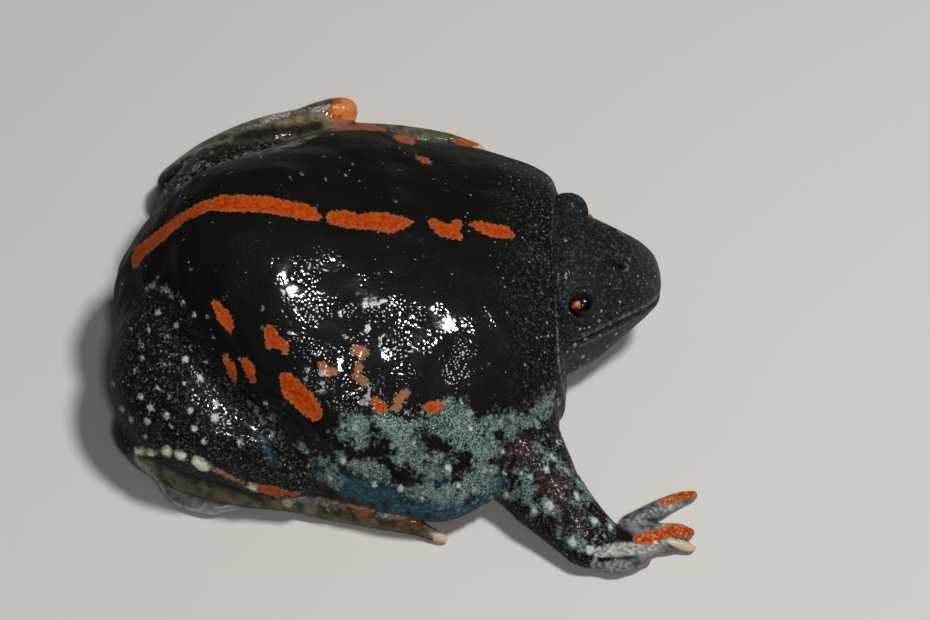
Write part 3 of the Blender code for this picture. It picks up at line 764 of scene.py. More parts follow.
skin = points_of(net)
skin += normals_of(skin) * GROWTH
skin[:, 2] = np.maximum(skin[:, 2], 0.0)
body_x = straight_x(skin)
part_gaps = {"torso": off_body(skin, body_x, TORSO), "head": off_body(skin, skin[:, 0], HEAD)}
for side in ("right", "left"):
    part_gaps["front_leg_" + side] = off_limb(skin, FRONT_LEG[side])[0]
    part_gaps["thigh_" + side] = off_limb(skin, THIGH[side])[0]
    part_gaps["shank_" + side] = off_limb(skin, SHANK[side])[0]
    foot_gap = off_limb(skin, FOOT[side])[0]
    toe_gap = off_digits(skin, toe_lines(side))[0]
    part_gaps["foot_" + side] = np.minimum(foot_gap, toe_gap)
    palm_gap = off_limb(skin, PALM[side])[0]
    finger_gap = off_digits(skin, finger_lines(side))[0]
    part_gaps["hand_" + side] = np.minimum(palm_gap, finger_gap)
part_names = list(part_gaps)
all_gaps = np.stack([part_gaps[name] for name in part_names])
owner = np.argmin(all_gaps, axis=0)
next_gap = np.maximum(np.partition(all_gaps, 1, axis=0)[1], 0.0)


def owned(*names):
    return np.isin(owner, [part_names.index(name) for name in names]).astype(float)


for name in part_names:
    print(name, int(owned(name).sum()), "points")

# %% Folds of the body
sway = bumps(skin, 7.0, 3)
waver = bumps(skin, 3.0, 5)
height = np.zeros(len(skin))

ROLLING = 0.30
DIMPLES = 0.14
JOIN_GROOVE = 0.30

body = owned("torso", "thigh_right", "thigh_left")
fore = owned("front_leg_right", "front_leg_left")
height += body * (ROLLING * bumps(skin, 9.0, 1) + DIMPLES * bumps(skin, 4.2, 2))
height -= JOIN_GROOVE * bell(next_gap, 0.7) * np.maximum(body, fore)


def gather(near, other, wave, size, reach, seed):
    """Folds on one part that run along its join with another and fade away from it."""
    gap = np.maximum(part_gaps[other], 0.0)
    fade = near * ease(reach, 0.25 * reach, gap) * ease(0.1, 0.8, gap)
    patchy = 0.55 + 0.45 * bumps(skin, 5.0, seed)
    turn = 2.0 * math.pi * (gap / wave + 0.45 * sway + 0.18 * waver)
    return size * patchy * fade * np.cos(turn)


for side in ("right", "left"):
    thigh = "thigh_" + side
    shank = "shank_" + side
    fore = "front_leg_" + side
    folds = np.zeros(len(skin))
    # A part, the part it joins, and the folds' wave, height, reach and seed
    for near, other, wave, size, reach, seed in (
        ("torso", thigh, 2.3, 0.26, 9.0, 11),
        (thigh, "torso", 2.2, 0.20, 5.0, 12),
        (shank, thigh, 1.9, 0.12, 3.0, 13),
        ("torso", fore, 2.0, 0.16, 6.0, 14),
        (fore, "torso", 1.9, 0.12, 4.0, 15),
    ):
        folds += gather(owned(near), other, wave, size, reach, seed)
    height += folds
print("folds reach", round(float(np.abs(height).max()), 2), "mm")

# %% [markdown]
# ## Neck, elbow and throat
# The body's skin ends over the head in a thin rolled edge, like a collar, which is why this toad
# seems to have no neck. The foreleg creases across at the elbow and the wrist, and the throat has
# a few shallow folds lengthwise.

# %% Collar and creases
COLLAR_X = 31.0
COLLAR_ROLL = 0.35
NECK_GROOVE = 0.40
LEG_WRINKLE = 0.10
THROAT_FOLD = 0.08
HEAD_SWELL = 0.05

beside_head = ease(2.6, 0.4, np.abs(part_gaps["head"]))
edge_at = COLLAR_X + 0.25 * bumps(skin, 3.0, 21)
roll = owned("torso") * beside_head * ease(COLLAR_X - 3.5, COLLAR_X - 0.4, body_x)
height += COLLAR_ROLL * roll
height -= NECK_GROOVE * owned("head") * bell(body_x - edge_at - 0.3, 0.5)

for side in ("right", "left"):
    gap, share = off_limb(skin, FRONT_LEG[side])
    leg = owned("front_leg_" + side)
    cross = np.cos(2.0 * math.pi * (share * 17.0 + 0.35 * waver))
    bend = bell(share - 0.62, 0.10) + 0.8 * bell(share - 0.97, 0.05)
    height += LEG_WRINKLE * leg * bend * cross + LEG_WRINKLE * leg * bumps(skin, 2.6, 22)
throat = owned("head") * ease(8.2, 6.5, skin[:, 2]) * ease(40.0, 35.0, skin[:, 0])
height += THROAT_FOLD * throat * np.cos(2.0 * math.pi * (skin[:, 1] / 2.1 + 0.4 * waver))
height += HEAD_SWELL * owned("head") * bumps(skin, 2.2, 23)

skin = skin + normals_of(skin) * height[:, None]
skin = relax(skin, edges_of(net), 1, 0.3)
print("collar roll covers", int((roll > 0.5).sum()), "points")

# %% [markdown]
# ## Face
# The eyes are small, with a thick lid all round. Each lid is shaped by turning the points around
# the eye's middle: inside the opening they drop behind the eyeball, at its edge they rise to a
# rim, and farther out a shallow groove parts the lid from the head. The nostrils are small pits
# with a raised rim, and the mouth is a groove between two soft lips.

# %% Lids
LID_OPENING = {"right": (1.84, 1.60), "left": (1.70, 1.10)}
LID_LOOKS = {"right": (0.03, -0.68, 0.73), "left": (0.30, 0.94, 0.16)}
LID_BULGE = 2.80
LID_LEAST = 2.50
LID_RIM = 0.04
LID_GROOVE = 0.04
LID_TUCK = 0.42
SUNK = EYE_RADIUS - 0.45


def across_and_up(looks):
    across = np.array((looks[1], -looks[0], 0.0))
    across = across / np.linalg.norm(across)
    return across, np.cross(across, looks)


for side in ("right", "left"):
    eye = np.array(EYE_AT[side])
    looks = np.array(LID_LOOKS[side]) / np.linalg.norm(LID_LOOKS[side])
    wide, high = LID_OPENING[side]
    across, up = across_and_up(looks)
    from_eye = skin - eye
    far = np.linalg.norm(from_eye, axis=1)
    way = from_eye / np.maximum(far, 1e-6)[:, None]
    ahead = way @ looks
    spread = np.hypot(way @ across * EYE_RADIUS / wide, way @ up * EYE_RADIUS / high)
    spread = np.where(ahead > 0, spread, 9.0)
    near = (far < 5.5) & (body_x > 31.0)
    bulge = LID_LEAST + (LID_BULGE - LID_LEAST) * ease(2.3, 1.0, spread)
    lid = np.maximum(far, bulge)
    lid = lid + LID_RIM * bell(spread - 1.10, 0.10) - LID_GROOVE * bell(spread - 1.75, 0.12)
    lid = lid - LID_TUCK * bell(np.maximum(spread - 1.0, 0.0), 0.16)
    shaped = SUNK + (lid - SUNK) * ease(0.93, 1.03, spread)
    shaped = np.where(near, shaped, far)
    skin = eye + way * shaped[:, None]
    on_rim = near & (np.abs(spread - 1.1) < 0.05)
    print(side, "lid rim at", round(float(shaped[on_rim].mean()), 2), "mm")

# %% Nostrils and mouth
NOSTRIL_LONG = 0.62
NOSTRIL_WIDE = 0.44
NOSTRIL_RIM = 0.30
NOSTRIL_PIT = 0.85
MOUTH_GROOVE = 0.17
LIP_RISE = 0.22

# The pit field is painted shade: it darkens the skin inside the nostril holes.
nostril_pit_shade = np.zeros(len(skin))
nostril_rim_highlight = np.zeros(len(skin))
face_normals = normals_of(skin)
push = np.zeros(len(skin))
for side in ("right", "left"):
    nostril = np.array(NOSTRIL_AT[side])
    near = np.linalg.norm(skin - nostril, axis=1) < 3.0
    centre = skin[near][np.argmin(np.linalg.norm(skin[near] - nostril, axis=1))]
    away = skin - centre
    along = away @ np.cross(NOSTRIL_LOOKS[side], (0.0, 0.0, 1.0)) * 1.26
    across = np.sqrt(np.maximum((away ** 2).sum(axis=1) - along ** 2, 0.0))
    ring = np.hypot(along / NOSTRIL_LONG, across / NOSTRIL_WIDE)
    push += near * (NOSTRIL_RIM * bell(ring - 1.55, 0.55) - NOSTRIL_PIT * bell(ring, 0.95))
    nostril_pit_shade = np.maximum(nostril_pit_shade, near * ease(1.25, 0.6, ring))
    # Painted highlight: the pale rim is laid only on the nostril's lit side.
    lit_side = ease(-0.1, 0.3, away @ (0.75, -0.4, -0.5))
    nostril_rim_highlight = np.maximum(nostril_rim_highlight, near * bell(ring - 1.45, 0.30) * lit_side)

above_mouth = skin[:, 2] - mouth_height(skin[:, 0])
upright = ease(0.9, 0.55, np.abs(face_normals[:, 2]))
on_side = owned("head") * ease(31.8, 33.4, skin[:, 0]) * upright
push -= MOUTH_GROOVE * on_side * bell(above_mouth, 0.20)
push += LIP_RISE * on_side * bell(np.abs(above_mouth) - 0.78, 0.44)
# Painted shade along the groove of the mouth
mouth_groove_shade = on_side * bell(above_mouth, 0.26)
skin = skin + face_normals * push[:, None]
skin[:, 2] = np.maximum(skin[:, 2], 0.0)

# The photograph shows the left knee drawn in by this much more than the solids
FAR_KNEE_DRAWN_IN = 2.1

far_knee = ease(-11.0, -22.0, skin[:, 0])
far_knee *= ease(8.5, 14.0, skin[:, 1]) * ease(30.5, 23.0, skin[:, 1])
skin[:, 0] += FAR_KNEE_DRAWN_IN * far_knee
set_points(net, skin)
print("nostrils and mouth moved", int((np.abs(push) > 0.05).sum()), "points")

# %% [markdown]
# ## Where the markings lie
# The stripe, the flank spots and the bright toes are this animal's own pattern, so they are drawn
# stroke by stroke: each stroke is a short line with a half width, given where the photograph shows
# it. Every point of the skin works out where the camera sees it and how far inside a stroke it
# is. The part of the left flank that the picture doesn't show wears the right side's strokes
# mirrored. The ragged edges come later, from noise in the material.

# %% From skin to picture
def on_picture(points):
    """Where each point falls in the photograph, in pixels from its upper left corner."""
    away = points * MM - np.array(camera.location)
    depth = -(away @ np.array(backwards))
    across = PICTURE_WIDTH / 2 + PIXELS_PER_RADIAN * (away @ np.array(rightwards)) / depth
    down = PICTURE_HEIGHT / 2 - PIXELS_PER_RADIAN * (away @ np.array(upwards)) / depth
    return np.stack([across, down], axis=1)


MM_PER_PIXEL = 0.139


def inside_strokes(picture, strokes):
    """How far inside the nearest stroke each point is, in millimetres, and below 0 outside."""
    inside = np.full(len(picture), -20.0)
    for stroke in strokes:
        for (x0, y0, r0), (x1, y1, r1) in zip(stroke, stroke[1:]):
            way = np.array((x1 - x0, y1 - y0))
            t = np.clip(((picture - (x0, y0)) @ way) / (way @ way), 0.0, 1.0)
            gap = np.linalg.norm(picture - (x0, y0) - t[:, None] * way, axis=1)
            inside = np.maximum(inside, r0 + (r1 - r0) * t - gap)
    return np.maximum(inside * MM_PER_PIXEL, -2.0)


final_normals = normals_of(skin)
sight = final_normals @ np.array(backwards)
picture = on_picture(skin)
mirror_picture = on_picture(skin * (1.0, -1.0, 1.0))
facing = ease(-0.25, 0.0, sight)
skin_tree = BVHTree.FromPolygons(skin.tolist(), net_faces.tolist())


def seen(point, normal):
    """Whether the camera sees a point of the skin, lifted a little above the grain."""
    start = Vector(point) + Vector(normal) * 0.5
    return skin_tree.ray_cast(start, camera.location / MM - start)[0] is None


towards = [facing[i] > 0.0 and seen(skin[i], final_normals[i]) for i in range(len(skin))]
visible = np.array(towards)
far_body = (skin[:, 1] > 8.0) & (owned("torso", "thigh_left", "head") > 0)
even_sight = evened(sight, 30)
visible &= ~far_body | (even_sight > 0.12)
print("the camera sees", int(visible.sum()), "of", len(skin), "points")

# %% Orange strokes of the back and flank
STRIPE = (
    ((134.7, 264.2, 4), (139.6, 251.6, 6.6), (150.9, 243.1, 6.4), (164.9, 231.9, 5.6),
     (181.7, 217.9, 4.6), (198.6, 209.5, 6), (209.8, 204.5, 5.6), (223.8, 203.2, 8.8),
     (246.3, 203.2, 8.4), (268.7, 204.6, 8.8), (282.8, 208, 7.6), (299.6, 210.9, 9),
     (312.2, 213.7, 7), (317.8, 217.2, 3.6)),
    ((333, 217.5, 7), (344.1, 218.8, 9), (357.5, 221.5, 7.4), (376.2, 220.8, 9.4),
     (391, 223.5, 9.8), (401.7, 222.8, 6.6), (411, 222.1, 2.6)),
    ((432.5, 222.1, 4.6), (441, 228.8, 7), (452, 232, 7.4), (457.4, 224, 5.2)),
    ((452, 232, 7), (459.3, 236.5, 3.8)),
    ((471.3, 224.1, 2.6), (480.7, 226.4, 5.6), (492.8, 230.8, 6.8), (506.1, 232.2, 6.2),
     (511.5, 235.5, 4)),
)
FLANK_SPOTS = (
    ((214.9, 303.3, 3.6), (223.2, 314.9, 7.2), (229.8, 326.5, 5), (230.7, 333.1, 1.6)),
    ((269.6, 329.8, 6), (273, 340.4, 7.6), (282.9, 344.7, 5.6), (285, 351.3, 4)),
    ((270, 338, 5), (268, 346, 3.6)), ((224.9, 356.3, 3.4), (230.7, 367.9, 5.2), (234.8, 381.2, 3)),
    ((244.8, 361.3, 4.6), (249.7, 369.6, 5.6), (253.1, 380.4, 3.4)),
    ((285.4, 377.9, 7), (292.9, 389.5, 11.6), (306.1, 402.8, 10.6), (314.4, 412.7, 8.6)),
    ((374.1, 400.3, 4.6), (381.6, 407.7, 6.2)), ((430.5, 407.7, 6.4), (438.8, 406.1, 5.8)),
)
FADED_SPOTS = (
    ((321, 364.6, 4.4), (327.7, 371.2, 6), (337.6, 372.9, 3.4)),
    ((356, 350.4, 6.4), (363, 352.4, 6.8)), ((358.4, 366, 5), (356, 377, 4.6), (365.8, 382.9, 5)),
    ((396.5, 407.7, 5.2), (399, 399.4, 5.8), (406.4, 392.8, 5)),
)
FAR_SPOTS = (
    ((333, 127.5, 3), (355, 126, 3.8), (385, 128.5, 2.6)),
    ((396, 137, 2.6), (404, 139, 4.2), (413, 142, 2.8)),
    ((417, 158, 1.8), (424, 160, 3.8), (430, 162.5, 2)),
)
outside = np.full(len(skin), -2.0)


def only(mask, field):
    return np.where(mask, field, outside)


upper = skin[:, 2] > 3.0
orange = only(visible & upper, inside_strokes(picture, STRIPE + FLANK_SPOTS + FAR_SPOTS))
faded = only(visible & upper, inside_strokes(picture, FADED_SPOTS))
far_side = (skin[:, 1] > 9.0) & upper & (even_sight < 0.08)
far_side &= final_normals @ (0.0, 0.8, 0.6) > 0.1
orange = np.maximum(orange, only(far_side, inside_strokes(mirror_picture, FLANK_SPOTS)))
faded = np.maximum(faded, only(far_side, inside_strokes(mirror_picture, FADED_SPOTS)))
print("orange covers", int((orange > 0).sum()), "points, faded orange", int((faded > 0).sum()))

# %% Frosted and blue flank
FROST = (
    ((344, 432, 10), (356, 428, 16), (362, 440, 10)),
    ((338, 458, 7), (352, 463, 8), (372, 471, 12), (386, 478, 9)),
    ((318, 458, 8), (330, 470, 12), (336, 480, 6)),
    ((380, 418, 10), (398, 430, 14), (404, 448, 12), (398, 462, 9)),
    ((420, 424, 8), (452, 416, 18), (468, 432, 22), (486, 448, 16)),
    ((412, 452, 8), (426, 474, 12), (446, 466, 10)), ((404, 452, 8), (420, 460, 11), (440, 458, 8)),
    ((450, 482, 7), (474, 478, 9)), ((302, 444, 2.5), (316, 466, 4)),
    ((316, 446, 2.5), (332, 474, 4)), ((250, 400, 1), (270, 434, 2.2)),
    ((262, 404, 1), (282, 440, 2)), ((406, 490, 8), (440, 494, 12), (478, 488, 14), (486, 470, 12)),
    ((490, 424, 10), (512, 424, 12), (530, 420, 9), (548, 404, 10)),
    ((538, 446, 8), (550, 456, 8), (566, 470, 6), (592, 498, 6)),
    ((504, 494, 6), (522, 492, 7), (534, 506, 8), (552, 508, 8)),
    ((520, 474, 5), (530, 478, 7), (528, 492, 6)), ((566, 536, 8), (574, 542, 9), (592, 548, 7)),
    ((592, 518, 4), (596, 524, 5)), ((608, 522, 3), (612, 528, 4)), ((576, 492, 5), (578, 500, 4)),
    ((148, 289, 2), (157, 283, 2)), ((164, 289, 1.5), (175, 296, 2)),
    ((183, 200, 2), (196, 192, 2), (206, 188, 1.5)),
)
BLUE_AND_SHEEN = (
    ((322, 470, 9), (352, 488, 12), (400, 502, 16), (450, 500, 22), (492, 486, 16)),
    # This narrow streak along the fold between thigh and flank is a painted sheen.
    ((257, 432, 2), (266, 450, 3), (276, 466, 2)),
)
LOBE = (
    ((150, 330, 34), (170, 400, 56), (240, 440, 40)),
)
MAROON = (
    ((540, 474, 6), (556, 486, 14), (562, 494, 8)), ((552, 512, 5), (566, 522, 9)),
    ((506, 456, 5), (524, 450, 8)),
)

SPOTS = (
    (504, 451, 5), (546, 469, 6), (530, 476, 5), (504, 473, 4), (521, 473, 4), (549, 505, 8),
    (576, 495, 6), (594, 520, 6), (610, 526, 5), (572, 542, 8), (590, 549, 8), (534, 510, 6),
    (506, 494, 6), (492, 499, 5), (604, 535, 3), (621, 544, 4), (558, 441, 5), (552, 456, 5),
    (470, 428, 5), (461, 401, 4), (413, 443, 5), (448, 468, 6), (492, 470, 5), (374, 484, 6),
    (343, 460, 6), (330, 478, 6), (356, 448, 4), (459, 486, 5), (421, 498, 5), (400, 488, 6),
    (262, 142, 2), (252, 137, 3), (209, 146, 3), (211, 152, 3), (184, 150, 3), (185, 162, 3),
    (179, 186, 3), (165, 191, 3), (323, 156, 2), (353, 163, 2), (302, 173, 3), (227, 174, 2),
    (290, 177, 2), (345, 174, 2), (325, 179, 2), (150, 286, 4), (166, 291, 4), (182, 302, 4),
    (157, 312, 5), (194, 314, 4), (176, 325, 5), (148, 329, 4), (131, 328, 3), (166, 337, 4),
    (190, 348, 3), (142, 345, 4), (172, 354, 4), (185, 359, 6), (142, 357, 4), (163, 363, 4),
    (135, 369, 4), (200, 378, 6), (184, 383, 4), (113, 383, 4), (157, 388, 4), (169, 396, 4),
    (140, 396, 5), (150, 407, 6), (122, 408, 5), (116, 413, 4), (131, 419, 5), (147, 421, 6),
    (166, 415, 6), (190, 410, 5), (216, 403, 6), (215, 417, 7), (194, 428, 6), (171, 425, 4),
    (204, 441, 5), (240, 442, 6), (145, 436, 4), (222, 298, 3), (207, 316, 3), (213, 336, 3),
    (205, 362, 3), (240, 358, 4), (262, 308, 3), (262, 328, 4), (226, 321, 4), (265, 402, 4),
)
FAR_FROST = (
    ((167, 214, 2), (175, 195, 3.4), (192, 173, 3.4), (208, 164, 1.6)),
)


body_right = visible & (skin[:, 1] < 4.0)
body_left = ~visible & (skin[:, 1] > 4.0) & (final_normals @ (0.0, 0.7, 0.7) > -0.3)


def both_sides(strokes):
    """The strokes on the side that the camera sees, and the same strokes mirrored on the other."""
    field = only(body_right, inside_strokes(picture, strokes))
    return np.maximum(field, only(body_left, inside_strokes(mirror_picture, strokes)))


far_frost = only(visible & far_body, inside_strokes(picture, FAR_FROST))
frost = np.maximum(both_sides(FROST), far_frost)
blue_and_sheen = ease(-0.7, 0.9, both_sides(BLUE_AND_SHEEN))
dotted = np.maximum(ease(-2.0, 1.0, both_sides(LOBE)), owned("thigh_right", "thigh_left"))
dotted = np.maximum(dotted, 0.8 * owned("shank_right", "shank_left"))
maroon = ease(-2.0, 1.5, both_sides(MAROON))
spots = [((x, y, 0.76 * r), (x + 0.8, y + 1.6, 0.72 * r)) for x, y, r in SPOTS]
spots = np.maximum(only(visible, inside_strokes(picture, spots)), both_sides(spots))
print("frost covers", int((frost > 0).sum()), "points")

# %% Feet and hands
BEADS = (
    ((138, 451, 3.6), (142, 451, 3.4)), ((150, 452.5, 3.2), (153, 453, 3)),
    ((166, 451, 4.4), (168, 452, 4.2)), ((179, 454, 4.2), (182, 456, 4.2)),
    ((196, 461, 4.4), (202, 465, 5.4), (207, 467.5, 3.6)), ((250, 486, 2.6), (257, 488, 3.2)),
)
TIP_BALL = (
    ((287, 501.5, 5.6), (289, 502.5, 5.6)),
)
CREAM_AND_HIGHLIGHT = (
    ((136, 459, 1.8), (147, 471, 2.4), (156, 480, 1.8)),
    ((598, 552, 4), (613, 550, 6), (632, 549, 6), (647, 547, 4.4)),
    ((668, 509, 2.6), (681, 504, 2.6)), ((660, 527, 2.4), (674, 523, 2.6)),
    # The thin stroke along the upper edge of the right foot's long toe is a painted highlight.
    ((640, 549, 3), (656, 546, 3)), ((378, 514.5, 1.2), (386, 516, 1.6), (404, 519, 1.2)),
    ((263, 122, 2), (276, 117, 2), (288, 114, 1.8)), ((311, 110, 1.6), (330, 107, 1.8)),
)
SALMON = (
    ((209, 467, 3.6), (220, 471.5, 4), (231, 477, 3.6), (243, 483, 3.4)),
    ((318, 500, 2.4), (345, 505, 3.4), (372, 512, 4)),
    ((386, 517, 3.2), (404, 520, 3.6), (420, 524, 3)),
)
RUST = (
    ((272, 124, 4), (300, 119, 6)), ((312, 118, 5), (332, 117, 7)), ((434, 143, 4), (452, 144, 5)),
    ((338, 508, 2), (360, 516, 5), (384, 522, 6.5), (406, 527, 6.5), (426, 532, 5.5)),
)
# The left outer toe's tip is yellow-orange, painted lighter where a highlight falls on it.
YELLOW_AND_HIGHLIGHT = (
    ((338, 110, 8), (349, 108, 9), (352, 104, 6)),
)
TOE_ORANGE = (
    ((260, 488, 4), (275, 492, 5.4), (288, 496, 5)), ((288, 495, 3), (300, 494, 2)),
    ((354, 511, 1.8), (370, 513, 2.2)), ((396, 519.5, 1.8), (418, 524.5, 2.4)),
    ((661, 503.5, 2.8), (671, 499.5, 4), (682, 495.5, 5.6), (692, 492.5, 5.8), (699, 491, 4)),
    ((638, 539, 5.4), (650, 537.5, 7.4), (664, 533, 6), (674, 530, 6.6), (688, 531.5, 6.4)),
    ((336, 112, 9), (346, 110, 12), (354, 106, 9)), ((458, 143, 5), (474, 146, 4.6)),
)
SLATE = (
    ((596, 566, 7), (612, 568, 8), (628, 566, 5)), ((640, 568, 4), (648, 564, 4)),
    ((622, 522, 4), (645, 518, 6)), ((654, 512, 6.4), (666, 512, 6.4)),
    ((296, 500, 5), (320, 501, 6), (344, 508, 4)), ((240, 130, 3), (262, 125, 3)),
    ((301, 112, 3), (311, 109, 3), (325, 107, 2)), ((418, 138, 3), (428, 140, 3)),
)
BUFF = (
    ((284, 501, 3.6), (289, 502, 5)), ((670, 541, 4), (682, 545, 6), (692, 548, 5)),
    ((424, 527, 3), (434, 533, 4.4), (444, 542, 4.4)), ((478, 147, 4), (486, 150, 3)),
)
PALE_LINES = (
    ((203, 174, 1.5), (224, 163, 2.5), (250, 155, 4), (276, 149, 5), (302, 141, 4.6),
     (326, 130, 2.2)),
)
RIM_LINE = (
    ((556, 292, 1), (557, 330, 1.6), (558.5, 362, 1.6), (563, 385, 1.8), (566, 398, 1.8)),
)
BLACK_WRIST = (
    ((600, 527, 6), (616, 533, 8), (630, 538, 5)),
)
SHADE = (
    ((137, 457, 0.8), (165, 459.5, 1.8), (198, 473, 2.2), (246, 493, 1.6), (262, 500, 1)),
    ((648, 519.5, 1.4), (657, 520.5, 2.2), (666, 518, 1)), ((604, 559.5, 0.6), (636, 557, 1.2)),
    ((612, 263, 2.6), (617, 267, 2.6)),
    ((236, 138, 3), (262, 134, 5), (300, 130, 5), (320, 126, 3)),
)
WET = (
    ((284, 268, 12), (298, 286, 13), (326, 300, 8)),
    ((334, 262, 10), (350, 272, 14), (362, 284, 10)),
    ((386, 262, 9), (400, 268, 13), (412, 276, 9)),
    ((424, 282, 12), (440, 308, 18), (466, 328, 15), (494, 330, 7)),
    ((396, 300, 8), (412, 330, 13), (440, 346, 10)),
    ((300, 318, 6), (322, 352, 9), (348, 362, 13), (352, 386, 9)), ((378, 352, 8), (398, 372, 8)),
    ((486, 292, 5), (500, 302, 4)), ((196, 400, 7), (236, 408, 12), (262, 440, 8)),
    ((200, 432, 5), (222, 440, 8)),
)
BEAD_RISE = 0.32
TIP_BALL_RISE = 0.60
low = skin[:, 2] < 14.0


def on_limbs(strokes):
    """The strokes where the camera sees them, and mirrored on the left foot's hidden side."""
    field = only(visible & low & ~far_body, inside_strokes(picture, strokes))
    hidden = low & ~visible & ~far_body & (skin[:, 1] > 20.0)
    return np.maximum(field, only(hidden, inside_strokes(mirror_picture, strokes)))


cream_and_highlight, salmon, toe_orange = (on_limbs(strokes) for strokes in (CREAM_AND_HIGHLIGHT, SALMON, TOE_ORANGE))
slate, buff, yellow_and_highlight = (on_limbs(strokes) for strokes in (SLATE, BUFF, YELLOW_AND_HIGHLIGHT))
beads, rust = on_limbs(BEADS), on_limbs(RUST)
pale_lines = only(visible, inside_strokes(picture, PALE_LINES))
pale_lines = pale_lines - 0.4 * ease(0.42, 0.15, even_sight)
rim_line = np.where(owned("torso") > 0, both_sides(RIM_LINE), outside)
shaded = visible & (low | (skin[:, 0] > 36.0))
shade = ease(-0.35, 0.15, only(shaded, inside_strokes(picture, SHADE)))
cream_and_highlight = np.maximum(cream_and_highlight, beads)
ball = only(visible & low, inside_strokes(picture, TIP_BALL))
buff = np.maximum(buff, ball - 0.1)
shade *= ease(0.1, -0.2, np.maximum(ball, beads))
raised = BEAD_RISE * ease(-0.15, 0.45, beads) + TIP_BALL_RISE * ease(0.0, 0.75, ball)
skin = skin + final_normals * raised[:, None]
set_points(net, skin)
wet = both_sides(WET)

# %% Bright tips of the hidden digits
# The fingertips behind the hand and the left foot's outer toe are orange by share along the digit
TIP_MIDDLE = {"right": 0.62, "left": 0.70}
TIP_HALF = 0.32
ON_DIGIT = 0.6

for side in ("right", "left"):
    gap, share, which = off_digits(skin, finger_lines(side))
    off_middle = np.abs(share - TIP_MIDDLE[side])
    tip = (gap < ON_DIGIT) & (off_middle < TIP_HALF) & (which < 3)
    if side == "right":
        tip &= ~visible
    toe_orange = np.where(tip, 0.5 - 4.0 * off_middle ** 2, toe_orange)
    gap, share, which = off_digits(skin, toe_lines(side))
    claw = (gap < ON_DIGIT) & (share > 0.93) & (which < 4)
    buff = np.where(claw, np.maximum(buff, 0.4), buff)
    if side == "left":
        outer_tip = (gap < ON_DIGIT) & (share > 0.72) & (which == 4)
        toe_orange = np.where(outer_tip, np.maximum(toe_orange, 4.0 * (share - 0.78)), toe_orange)
        # The same lighter yellow, partly a painted highlight, at the left outer toe's tip
        yellow_and_highlight = np.where(outer_tip, np.maximum(yellow_and_highlight, 4.0 * (share - 0.86)), yellow_and_highlight)
orange = np.maximum(orange, np.where(ball > -0.1, -2.0, toe_orange))
print("orange with toes:", int((orange > 0).sum()), "points")

# %% Head, collar and joins
foot = evened(owned("foot_right", "foot_left", "hand_right", "hand_left"), 4)
hand = evened(owned("hand_right", "hand_left"), 4)
black_wrist = ease(-0.7, 0.5, only(visible & low, inside_strokes(picture, BLACK_WRIST)))
foot *= 1.0 - black_wrist
hand *= 1.0 - black_wrist
jaw = owned("head") * ease(13.0, 9.0, skin[:, 2])
damp = 0.14 * ease(0.5, -0.1, final_normals[:, 1]) * ease(-0.7, -0.3, final_normals[:, 0])
forelegs = owned("front_leg_right", "front_leg_left")
damp = damp * (1.0 - 0.4 * owned("head") - 0.5 * forelegs) + 0.02
grey = evened(owned("head"), 2)
snout = grey * ease(39.5, 45.0, skin[:, 0])
lip_line_and_nostril_highlight = on_side * bell(above_mouth - 0.80, 0.20)
lip_line_and_nostril_highlight += 0.7 * on_side * bell(above_mouth + 0.62, 0.16)
# The nostril rims' painted highlight joins the pale lip lines.
lip_line_and_nostril_highlight = np.maximum(lip_line_and_nostril_highlight, nostril_rim_highlight)
lid_skin = np.zeros(len(skin))
for side in ("right", "left"):
    off_eye = np.linalg.norm(skin - EYE_AT[side], axis=1)
    lid_skin = np.maximum(lid_skin, ease(4.1, 3.0, off_eye) * (body_x > 30.9))
# Painted shade in the creases where the body and thighs meet the other parts
crease_shade = body * bell(next_gap, 0.5)
dusty = 0.55 * dotted + 0.45 * owned("torso") * ease(20.0, 29.0, body_x) + 0.35 * grey
dusty = np.maximum(dusty, 0.6 * forelegs)
print("feet and hands:", int((foot > 0.5).sum()), "points")

# %% Keep the fields on the skin
FIELDS = {
    "orange": orange, "faded": faded, "frost": frost, "blue_and_sheen": blue_and_sheen, "dotted": dotted,
    "maroon": maroon, "spots": spots, "cream_and_highlight": cream_and_highlight, "salmon": salmon, "slate": slate,
    "buff": buff, "pale_lines": pale_lines, "foot": foot, "grey": grey, "snout": snout, "rim": rim_line,
    "beads": beads, "hand": hand, "jaw": jaw, "yellow_and_highlight": yellow_and_highlight, "rust": rust, "damp": damp,
    "lip_line_and_nostril_highlight": lip_line_and_nostril_highlight, "lid": lid_skin, "dusty": dusty,
    # The dark field is painted shade: nostril pits, mouth groove, creases at the joins and shade
    # strokes
    "dark": np.clip(nostril_pit_shade + 0.4 * mouth_groove_shade + 0.6 * crease_shade + shade, 0.0, 1.0), "wet": wet,
}


def keep_field(name, values):
    kept = net.attributes.new(name, "FLOAT", "POINT")
    kept.data.foreach_set("value", values.astype(np.float32))


for name, values in FIELDS.items():
    keep_field(name, values)
print("fields on the skin:", ", ".join(FIELDS))

# %% [markdown]
# ## Skin material
# The real skin is thin, wet and very dark, and its colours lie in it like ink in paper. The
# material starts from black and lays each field over it. Noise is added to a field before it is
# cut, which frays its edge as the photograph shows. Shine comes from a thin wet coat over the
# skin, and fine bumps break it into many small glints.

# %% Helpers for node trees
def put(tree, kind, inputs=None, **settings):
    """Adds a node, sets its options, and sets or links its inputs."""
    made = tree.nodes.new(kind)
    for name, value in settings.items():
        setattr(made, name, value)
    for name, value in (inputs or {}).items():
        if isinstance(value, bpy.types.NodeSocket):
            tree.links.new(value, made.inputs[name])
        else:
            made.inputs[name].default_value = value
    return made


def blend_colours(tree, share, under, over):
    made = put(tree, "ShaderNodeMix", {0: share, 6: under, 7: over}, data_type="RGBA")
    return made.outputs[2]


